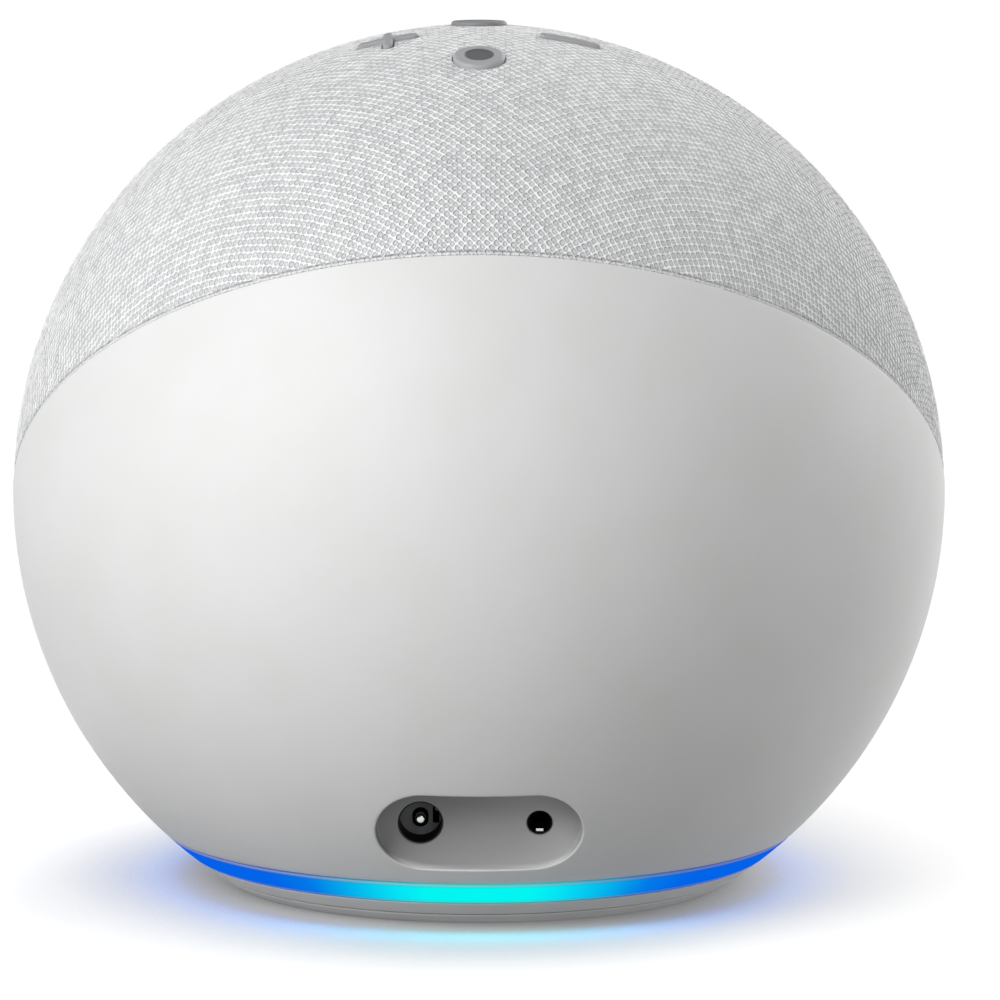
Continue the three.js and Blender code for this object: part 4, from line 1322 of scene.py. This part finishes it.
def tripod_insert():
    """The brass insert, with a real screw thread in its bore."""
    low, high = (corner.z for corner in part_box("tripod_insert"))
    top = high - INSERT_FLOOR
    angles = round_angles(72)
    insert = Shape()
    outside = [
        (THREAD_RADIUS + MOUTH_CHAMFER, low),
        (INSERT_RADIUS - INSERT_CHAMFER, low),
        (INSERT_RADIUS, low + INSERT_CHAMFER),
        (INSERT_RADIUS, high),
    ]
    rings = lathe(insert, outside, len(angles), closed=False)
    threads = []
    for height in spread_evenly(low + MOUTH_CHAMFER, top, THREAD_STEPS):
        ring = []
        for angle in angles:
            phase = (height / THREAD_PITCH + angle / FULL_TURN) % 1
            radius = THREAD_RADIUS - THREAD_DEPTH * (1 - abs(2 * phase - 1))
            ring.append(turned_place(radius, height, angle))
        threads.append(insert.ring(ring))
    insert.tube([rings[0], *threads])
    insert.cap(threads[-1], Vector((0, 0, top)))
    insert.cap(rings[-1], Vector((0, 0, high)))
    brass = metal("brass", "a8813a", "c79f4f", 0.3)
    make_piece("camera_thread_insert", insert, brass, "tripod_insert", sharp=math.radians(50))


DRIVE_DEPTH = 0.8 * MM
DRIVE_SHARES = (0.46, 0.09)  # the lobes' middle radius and their swing, as shares of the head's
HEAD_HEIGHT = 1.2 * MM


def drive_lobes(centre, head):
    """The outline of a six-lobed drive recess in a screw's head."""
    middle_share, swing = DRIVE_SHARES
    lobes = Outline()
    for turn in round_angles(72):
        radius = head * (middle_share + swing * math.cos(6 * turn))
        direction = Vector((math.cos(turn), math.sin(turn)))
        lobes.places.append(centre + radius * direction)
        lobes.outward.append(direction)
    return lobes


def base_screws():
    """Pan-head screws, each with a six-lobed drive recess."""
    steel = metal("steel", "9b9da0", "c3c5c8", 0.28)
    for number in range(1, len(SCREW_ANGLES) + 1):
        node = f"base_screw_{number}"
        low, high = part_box(node)
        centre = middle(node).xy
        head = (high.x - low.x) / 2
        under = low.z + HEAD_HEIGHT
        screw = Shape()
        profile = [
            (head * 0.72, low.z),
            (head * 0.92, low.z + 0.18 * MM),
            (head, low.z + 0.55 * MM),
            (head, under),
            (head / 2, under),
            (head / 2, high.z - 0.6 * MM),
            (head / 4, high.z),
        ]
        rings = lathe(screw, profile, 72, centre, closed=False)
        screw.cap(rings[-1], Vector((*centre, high.z)))
        mouth, floor = well(screw, drive_lobes(centre, head), low.z, low.z + DRIVE_DEPTH)
        fill_flat(screw, screw.seen_from_above(rings[0]), mouth)
        fill_flat(screw, floor)
        make_piece(node + "_turned", screw, steel, node)


light_ring()
base_plate()
rubber_foot()
tripod_insert()
base_screws()

# ---- sockets

JACK_DEPTH = 14 * MM
COLLAR_FRONT = -0.45 * MM  # the sockets' thin collars end just inside the shell's holes
DC_COLLAR_RADIUS = 3.4 * MM
AUDIO_COLLAR_RADIUS = 1.95 * MM
BLOCK_CORNER = 0.4 * MM
MOUTH_LIP = 0.05 * MM
DC_BLOCK = (4.7 * MM, 5.4 * MM)  # half its width and half its height
DC_MOUTH_RADIUS = 3.2 * MM
DC_MOUTH_DEPTH = 1.4 * MM
DC_PIN_ROOM = 1.25 * MM
DC_PIN_ROOM_DROP = 0.7 * MM  # how much longer the pin's hole is downwards
DC_PIN_ROOM_DEPTH = 9.6 * MM
DC_PIN_ROUND = 0.5 * MM
DC_PIN_RADIUS = 0.8 * MM
DC_PIN_ROOT = 9.4 * MM  # how far the pin goes behind the sunken face
DC_SLOT_X = (1.9 * MM, 2.9 * MM)  # the contact's slot, to the right of the pin
DC_SLOT_Y = (-1.3 * MM, 1.3 * MM)
DC_SLOT_CORNER = 0.2 * MM
DC_SLOT_DEPTH = 7.6 * MM
DC_LEAF_X = (2.35 * MM, 2.65 * MM)
DC_LEAF_HEIGHT = 1 * MM
DC_LEAF_PATH = (  # as (up, out)
    (-0.5 * MM, JACK_FRONT - 8.4 * MM),
    (-0.5 * MM, JACK_FRONT - 5 * MM),
    (-0.2 * MM, JACK_FRONT - 4 * MM),
)
AUDIO_BLOCK = (3.2 * MM, 3 * MM)
AUDIO_MOUTH_RADIUS = 1.78 * MM
AUDIO_MOUTH_DEPTH = 0.3 * MM
AUDIO_BORE = 1.7 * MM
AUDIO_BORE_DEPTH = 10.5 * MM
AUDIO_LEAF_X = (-0.55 * MM, 0.55 * MM)
AUDIO_LEAF_HEIGHT = 0.42 * MM
AUDIO_LEAF_PATH = (
    (-1.55 * MM, JACK_FRONT - 7.5 * MM),
    (-1.55 * MM, COLLAR_FRONT - 0.9 * MM),
    (-1.6 * MM, COLLAR_FRONT - 0.4 * MM),
)


def socket_piece(name, shape, finish, node):
    """A piece whose shape was made in the sockets' own frame."""
    shape.points = [POCKET_FRAME @ point for point in shape.points]
    make_piece(name, shape, finish, node)


def socket_block(half_size, collar_radius, mouth, mouth_depth, *wells_inside):
    """A socket's body: a block with a collar round its mouth, and narrower wells behind it."""
    shape = Shape()
    x, y = half_size
    centre = mouth[0]
    outline = rounded_box((centre.x - x, centre.x + x), (-y, y), BLOCK_CORNER).places
    back = JACK_FRONT - JACK_DEPTH
    front_ring = shape.ring(level(outline, JACK_FRONT))
    back_ring = shape.ring(level(outline, back))
    shape.band(front_ring, back_ring)
    fill_flat(shape, (back_ring, outline))
    collar = disc_outline(centre, collar_radius, 96).places
    foot = shape.ring(level(collar, JACK_FRONT))
    fill_flat(shape, (front_ring, outline), (foot, collar))
    brim = shape.ring(level(collar, COLLAR_FRONT))
    shape.band(foot, brim)
    sunk = JACK_FRONT - mouth_depth
    top, floor = well(shape, disc_outline(*mouth, 96), COLLAR_FRONT, sunk, MOUTH_LIP)
    fill_flat(shape, (brim, collar), top)
    openings = []
    for pit, depth in wells_inside:
        opening, bottom = well(shape, pit, sunk, sunk - depth)
        openings.append(opening)
        fill_flat(shape, bottom)
    fill_flat(shape, floor, *openings)
    return shape


def leaf(path, thickness, x_span, centre):
    """A bent metal leaf: a path of (up, out) points, given a thickness and a width."""
    left, right = (centre.x + x for x in x_span)
    shape = Shape()
    rings = []
    for up, out in path:
        corners = [(left, up), (right, up), (right, up + thickness), (left, up + thickness)]
        rings.append(shape.ring(level(corners, out)))
    shape.tube(rings)
    shape.faces.extend([tuple(rings[0]), tuple(rings[-1])])
    return shape


def socket_plastic():
    """Black plastic, grey on its sunken face round the pin, with painted black shade on the collar's walls and in
    the wells.
    """
    finish = Finish("socket_plastic", 0.5, Specular_IOR_Level=0.15)
    out = finish.vector("DOT_PRODUCT", finish.place, POCKET_OUT)
    face = (POCKET_ORIGIN.dot(POCKET_OUT) + JACK_FRONT - DC_MOUTH_DEPTH) / MM
    off_face = finish.apart(out, face)
    dull = finish.ramp(finish.noise(1.5, 3), (0.3, "6a6b6d"), (0.7, "747577"))
    # off the sunken face all is black: the plastic's own colour outside, and painted shade on the collar's walls
    # and in the wells
    finish.colour(finish.blend(finish.mapped(off_face, 0.03, 0.09), dull, shade("060607")))
    finish.bump(finish.noise(0.2, 1), 0.006)
    return finish.name


def power_socket(dark, nickel):
    below = DC_PLACE - Vector((0, DC_PIN_ROOM_DROP))
    pin_room = Outline().arc(DC_PLACE, DC_PIN_ROOM, 0, math.pi, 24)
    pin_room.arc(below, DC_PIN_ROOM, math.pi, FULL_TURN, 24)
    slot_x = [DC_PLACE.x + x for x in DC_SLOT_X]
    contact_room = rounded_box(slot_x, DC_SLOT_Y, DC_SLOT_CORNER)
    block = socket_block(
        DC_BLOCK, DC_COLLAR_RADIUS, (DC_PLACE, DC_MOUTH_RADIUS), DC_MOUTH_DEPTH,
        (pin_room, DC_PIN_ROOM_DEPTH), (contact_room, DC_SLOT_DEPTH),
    )
    socket_piece("power_socket_body", block, dark, "dc_jack_body")

    pin = Shape()
    tip = reach("dc_jack_pin", POCKET_OUT, POCKET_ORIGIN)[1]
    root = JACK_FRONT - DC_MOUTH_DEPTH - DC_PIN_ROOT
    shoulder = tip - DC_PIN_ROUND
    profile = [(DC_PIN_RADIUS, root), (DC_PIN_RADIUS, shoulder)]
    for turn in quarter(8)[:-1]:
        radius = DC_PIN_RADIUS - DC_PIN_ROUND * (1 - math.cos(turn))
        profile.append((radius, shoulder + DC_PIN_ROUND * math.sin(turn)))
    rings = lathe(pin, profile, 48, DC_PLACE, closed=False)
    pin.cap(rings[0], Vector((*DC_PLACE, root)))
    pin.cap(rings[-1], Vector((*DC_PLACE, tip)))
    socket_piece("power_socket_pin", pin, nickel, "dc_jack_pin")

    contact = leaf(DC_LEAF_PATH, DC_LEAF_HEIGHT, DC_LEAF_X, DC_PLACE)
    socket_piece("power_socket_contact", contact, nickel, "dc_jack_contact")


def audio_socket(dark, nickel):
    bore = disc_outline(AUDIO_PLACE, AUDIO_BORE, 72)
    block = socket_block(
        AUDIO_BLOCK, AUDIO_COLLAR_RADIUS, (AUDIO_PLACE, AUDIO_MOUTH_RADIUS), AUDIO_MOUTH_DEPTH,
        (bore, AUDIO_BORE_DEPTH),
    )
    socket_piece("audio_socket_body", block, dark, "audio_jack_body")

    contact = leaf(AUDIO_LEAF_PATH, AUDIO_LEAF_HEIGHT, AUDIO_LEAF_X, AUDIO_PLACE)
    socket_piece("audio_socket_contact", contact, nickel, "audio_jack_contact")


SOCKET_METAL = metal("nickel", "b9b8b2", "e2e1dc", 0.2)
SOCKET_BLACK = socket_plastic()
power_socket(SOCKET_BLACK, SOCKET_METAL)
audio_socket(SOCKET_BLACK, SOCKET_METAL)

# ---- woofer's surround and spider

FLEX_SECTORS = 16
SECTOR_STEPS = 3
SURROUND_RADII = (26.2 * MM, 36.5 * MM)
ROLL_RADII = (27.5 * MM, 33.1 * MM)
ROLL_STEPS = 10
ROLL_THICKNESS = 0.6 * MM
SPIDER_RADII = (13.8 * MM, 21.6 * MM)
SPIDER_THICKNESS = 0.5 * MM
SPIDER_WAVES = 3
SPIDER_SWING = 0.4 * MM


def split_place(radius, height, angle):
    """A place round the split's normal, height being over the split's centre plane."""
    sideways = math.cos(angle) * SPLIT_RIGHT + math.sin(angle) * SPLIT_FRONT
    return CENTRE + radius * sideways + height * SPLIT_NORMAL


def flexing_ring(node, section, thickness, finish, radii):
    """A ring of wedges between the frame outside and the cone inside.

    section is the ring's underside from the inside out, as (radius, height)."""
    profile = section + [(radius, height + thickness) for radius, height in reversed(section)]
    sector = FULL_TURN / FLEX_SECTORS
    count = len(profile)
    for k in range(FLEX_SECTORS):
        wedge = Shape()
        rings = []
        for angle in spread_evenly(sector * k, sector * (k + 1), SECTOR_STEPS):
            rings.append(wedge.ring([split_place(r, h, angle) for r, h in profile]))
        wedge.tube(rings)
        for ring in (rings[0], rings[-1]):
            for i in range(count // 2 - 1):
                wedge.faces.append((ring[i], ring[i + 1], ring[count - 2 - i], ring[count - 1 - i]))
        piece = make_piece(f"{node}_wedge_{k + 1}", wedge, finish, node, body=None)
        moving, still = (split_place(radius, 0, sector * (k + 0.5)) for radius in radii)
        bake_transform(piece)
        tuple(still)
        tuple(moving)


def woofer_surround():
    """A half-round roll between two flat rims."""
    base, top = reach("woofer_surround", SPLIT_NORMAL, CENTRE)
    rise = top - base - ROLL_THICKNESS
    inner, outer = ROLL_RADII
    half = (outer - inner) / 2
    roll = [
        (inner + half * (1 - math.cos(turn)), base + rise * math.sin(turn))
        for turn in spread_evenly(0, math.pi, ROLL_STEPS)
    ]
    section = [(SURROUND_RADII[0], base), *roll, (SURROUND_RADII[1], base)]
    rubber = moulded("soft_rubber", "151516", "1d1d1e", 0.8, depth=0.01)
    flexing_ring("woofer_surround", section, ROLL_THICKNESS, rubber, ROLL_RADII)


def woofer_spider():
    """A disc of stiff cloth with rings of waves."""
    low, high = reach("woofer_spider", SPLIT_NORMAL, CENTRE)
    height = (low + high - SPIDER_THICKNESS) / 2
    section = [
        (radius, height + SPIDER_SWING * math.sin(turn))
        for radius, turn in zip(
            spread_evenly(*SPIDER_RADII, 6 * SPIDER_WAVES),
            spread_evenly(0, FULL_TURN * SPIDER_WAVES, 6 * SPIDER_WAVES),
        )
    ]
    cloth = woven("spider_cloth", "9a7230", "c69a4c", 0.6)
    flexing_ring("woofer_spider", section, SPIDER_THICKNESS, cloth, SPIDER_RADII)


woofer_surround()
woofer_spider()

# ---- finishes of the frame's own pieces


def inner_finishes():
    """The finishes of carried-over pieces that no new piece shares."""
    moulded("grille_plastic", "6b6c6e", "747577", 0.6)
    moulded("white_plastic", "ececea", "f4f4f2", 0.5)
    moulded("thermal_gel", "7896ac", "84a2b6", 0.8, depth=0.02)
    moulded("flex_film", "a8642a", "c07c36", 0.4, grain=0.5, Coat_Weight=0.4)
    moulded("black_plastic", "18181a", "202022", 0.5)
    metal("cast_aluminium", "8f9294", "adb0b2", 0.5, streak=(1, 1, 1), depth=0.02)
    metal("copper", "a3562e", "c27546", 0.35)
    metal("magnet", "5c5e62", "74767a", 0.4, streak=(1, 1, 1))
    woven("paper_cone", "1d1d1f", "333336", 0.5)
    woven("silk_dome", "2a2a30", "41414a", 0.3)
    circuit_board()


def paint_frame():
    """Gives each carried-over piece the finish that is named like its slot."""
    for part in frame["record"]["subparts"]:
        node = frame["nodes"][part["node"]]
        if not node.hide_render:
            node.data.materials.clear()
            node.data.materials.append(FINISHES[part["material_slot"]])


inner_finishes()
paint_frame()

# ---- floor and light

FLOOR_SIZE = 8.0
FLOOR_DROP = 0.02 * MM  # it lies just under the foot, so that the two faces don't mix
FLOOR_WHITE = 1.3  # over 1, so that the open floor stays pure white in a modest light
FLOOR_SHADE = 0.18  # how dark the floor goes where the ball hides the whole sky
FLOOR_SHADE_REACH = 0.045
FLOOR_GLIMMER = 0.11  # light that the floor gives back even in the ball's shadow
OPEN_FLOOR = 1.05  # the floor's even white beyond the shadow, whatever lights it
OPEN_FLOOR_CENTRE = Vector((-40, 0, 0)) * MM  # off to the key lamp's side, so its shadow ends sooner
OPEN_FLOOR_REACH = (72 * MM, 130 * MM)
LAMP_DISTANCE = 1.6
LAMP_SIZE = 0.9
LAMPS = (
    # name, degrees round from the camera to the right, degrees up, watts
    ("key", -44, 30, 19.4),
    ("left", -75, 15, 5.0),
    ("fill", 20, 15, 5.4),
    ("right", 110, 14, 11.8),
    ("right_rim", 150, 20, 15.5),
    ("left_rim", -150, 20, 3.5),
    ("top", -70, 65, 6.0),
)
FLOOR_LIGHT = 0.29  # what the bright floor sends up to the ball
GLOW_LAMPS = 36
GLOW_POWER = 0.00043
GLOW_SIZE = (7 * MM, 3 * MM)
GLOW_GAP = 0.6 * MM  # how far the lamps stand off the ring
GLOW_DIP = 0.5  # how steeply they shine down
GLOW_STOPS = (
    # quarter turns from the ring's back, and the light's linear colour
    (0, (0, 0.72, 1.0)),
    (0.39, (0, 0.29, 0.86)),
    (0.6, (0, 0.13, 0.45)),
    (2, (0, 0.12, 0.42)),
)


def floor_white():
    """White, shaded at the foot, plain further out, and clear when seen from below."""
    finish = Finish("floor", 0, "ShaderNodeBsdfDiffuse")
    sky = finish.set(
        finish.node("ShaderNodeAmbientOcclusion", samples=8), Distance=FLOOR_SHADE_REACH
    )
    contact = finish.mapped(sky.outputs["AO"], 0, 1, FLOOR_SHADE * FLOOR_WHITE, FLOOR_WHITE)
    tone = finish.node("ShaderNodeCombineColor")
    finish.set(tone, Red=contact, Green=contact, Blue=contact)
    finish.set(finish.shader, Color=tone.outputs["Color"])

    def glow(strength):
        made = finish.set(finish.node("ShaderNodeEmission"), Strength=strength)
        return made.outputs["Emission"]

    lit = finish.node("ShaderNodeAddShader")
    finish.plug(lit.inputs[0], finish.shader.outputs["BSDF"])
    finish.plug(lit.inputs[1], glow(FLOOR_GLIMMER))
    here = finish.node("ShaderNodeNewGeometry")
    away = finish.vector("DISTANCE", here.outputs["Position"], OPEN_FLOOR_CENTRE)
    far = finish.mapped(away, *OPEN_FLOOR_REACH, 0, 1, smooth=True)
    above = finish.blend_shaders(far, lit.outputs["Shader"], glow(OPEN_FLOOR))
    below = finish.node("ShaderNodeBsdfTransparent").outputs["BSDF"]
    finish.plug(finish.surface, finish.blend_shaders(here.outputs["Backfacing"], above, below))
    return finish.name


def make_floor():
    """A plain white floor, seen only from above."""
    half = FLOOR_SIZE / 2
    corners = level(((-half, -half), (half, -half), (half, half), (-half, half)), 0)
    mesh = bpy.data.meshes.new("floor")
    mesh.from_pydata(corners, [], [(0, 1, 2, 3)])
    mesh.materials.append(FINISHES[floor_white()])
    floor = add_object("floor", mesh)
    floor.location.z = -FLOOR_DROP
    floor.visible_diffuse = False


def area_light(name, place, aim, size, watts, colour=(1, 1, 1)):
    """A soft rectangular light that shines along aim, and that no camera ray sees."""
    data = bpy.data.lights.new(name, "AREA")
    data.shape = "RECTANGLE"
    data.size, data.size_y = size
    data.energy = watts
    data.color = colour
    light = add_object(name, data)
    light.location = place
    light.rotation_euler = (-aim).to_track_quat("Z", "Y").to_euler()
    light.visible_camera = False
    return light


def studio_lamps():
    for name, round_by, up_by, watts in LAMPS:
        turn, rise = math.radians(round_by), math.radians(up_by)
        level_part = math.cos(rise)
        out = Vector((math.sin(turn) * level_part, -math.cos(turn) * level_part, math.sin(rise)))
        area_light(name, CENTRE + LAMP_DISTANCE * out, -out, (LAMP_SIZE, LAMP_SIZE), watts)


def glow_colour(turn):
    """The colour of the ring's light on the table, turn being 0 at its back and 2 in front."""
    for (start, first), (end, last) in zip(GLOW_STOPS, GLOW_STOPS[1:]):
        if turn <= end:
            return Vector(first).lerp(Vector(last), (turn - start) / (end - start))


def ring_glow():
    """Small lamps along the ring, for the light it throws on the table."""
    height = (RING_BOTTOM + RING_TOP) / 2
    out_by = radius_at(height) + GLOW_GAP
    for k, angle in enumerate(round_angles(GLOW_LAMPS)):
        side = Vector((math.sin(angle), -math.cos(angle), 0))
        turn = min(angle, FULL_TURN - angle) / QUARTER_TURN
        place = side * out_by + height * UP
        aim = side - GLOW_DIP * UP
        lamp = area_light(f"glow_{k}", place, aim, GLOW_SIZE, GLOW_POWER, glow_colour(turn))
        lamp.visible_glossy = False


def make_world():
    """Dark above, and below the brightness of a white floor; a plain pale backdrop when seen."""
    world = bpy.data.worlds.new("world")
    world.use_nodes = True
    sky = Nodes(world.node_tree)
    _, _, up = sky.split(sky.node("ShaderNodeTexCoord").outputs["Generated"])
    light = sky.mapped(up, -0.05, 0.05, FLOOR_LIGHT, 0)
    seen = sky.node("ShaderNodeLightPath").outputs["Is Camera Ray"]
    background = world.node_tree.nodes["Background"]
    sky.set(background, Color=shade("ffffff"), Strength=sky.math("MAXIMUM", light, seen))
    bpy.context.scene.world = world


make_floor()
make_world()
studio_lamps()
ring_glow()
bpy.context.scene.view_settings.view_transform = "Standard"
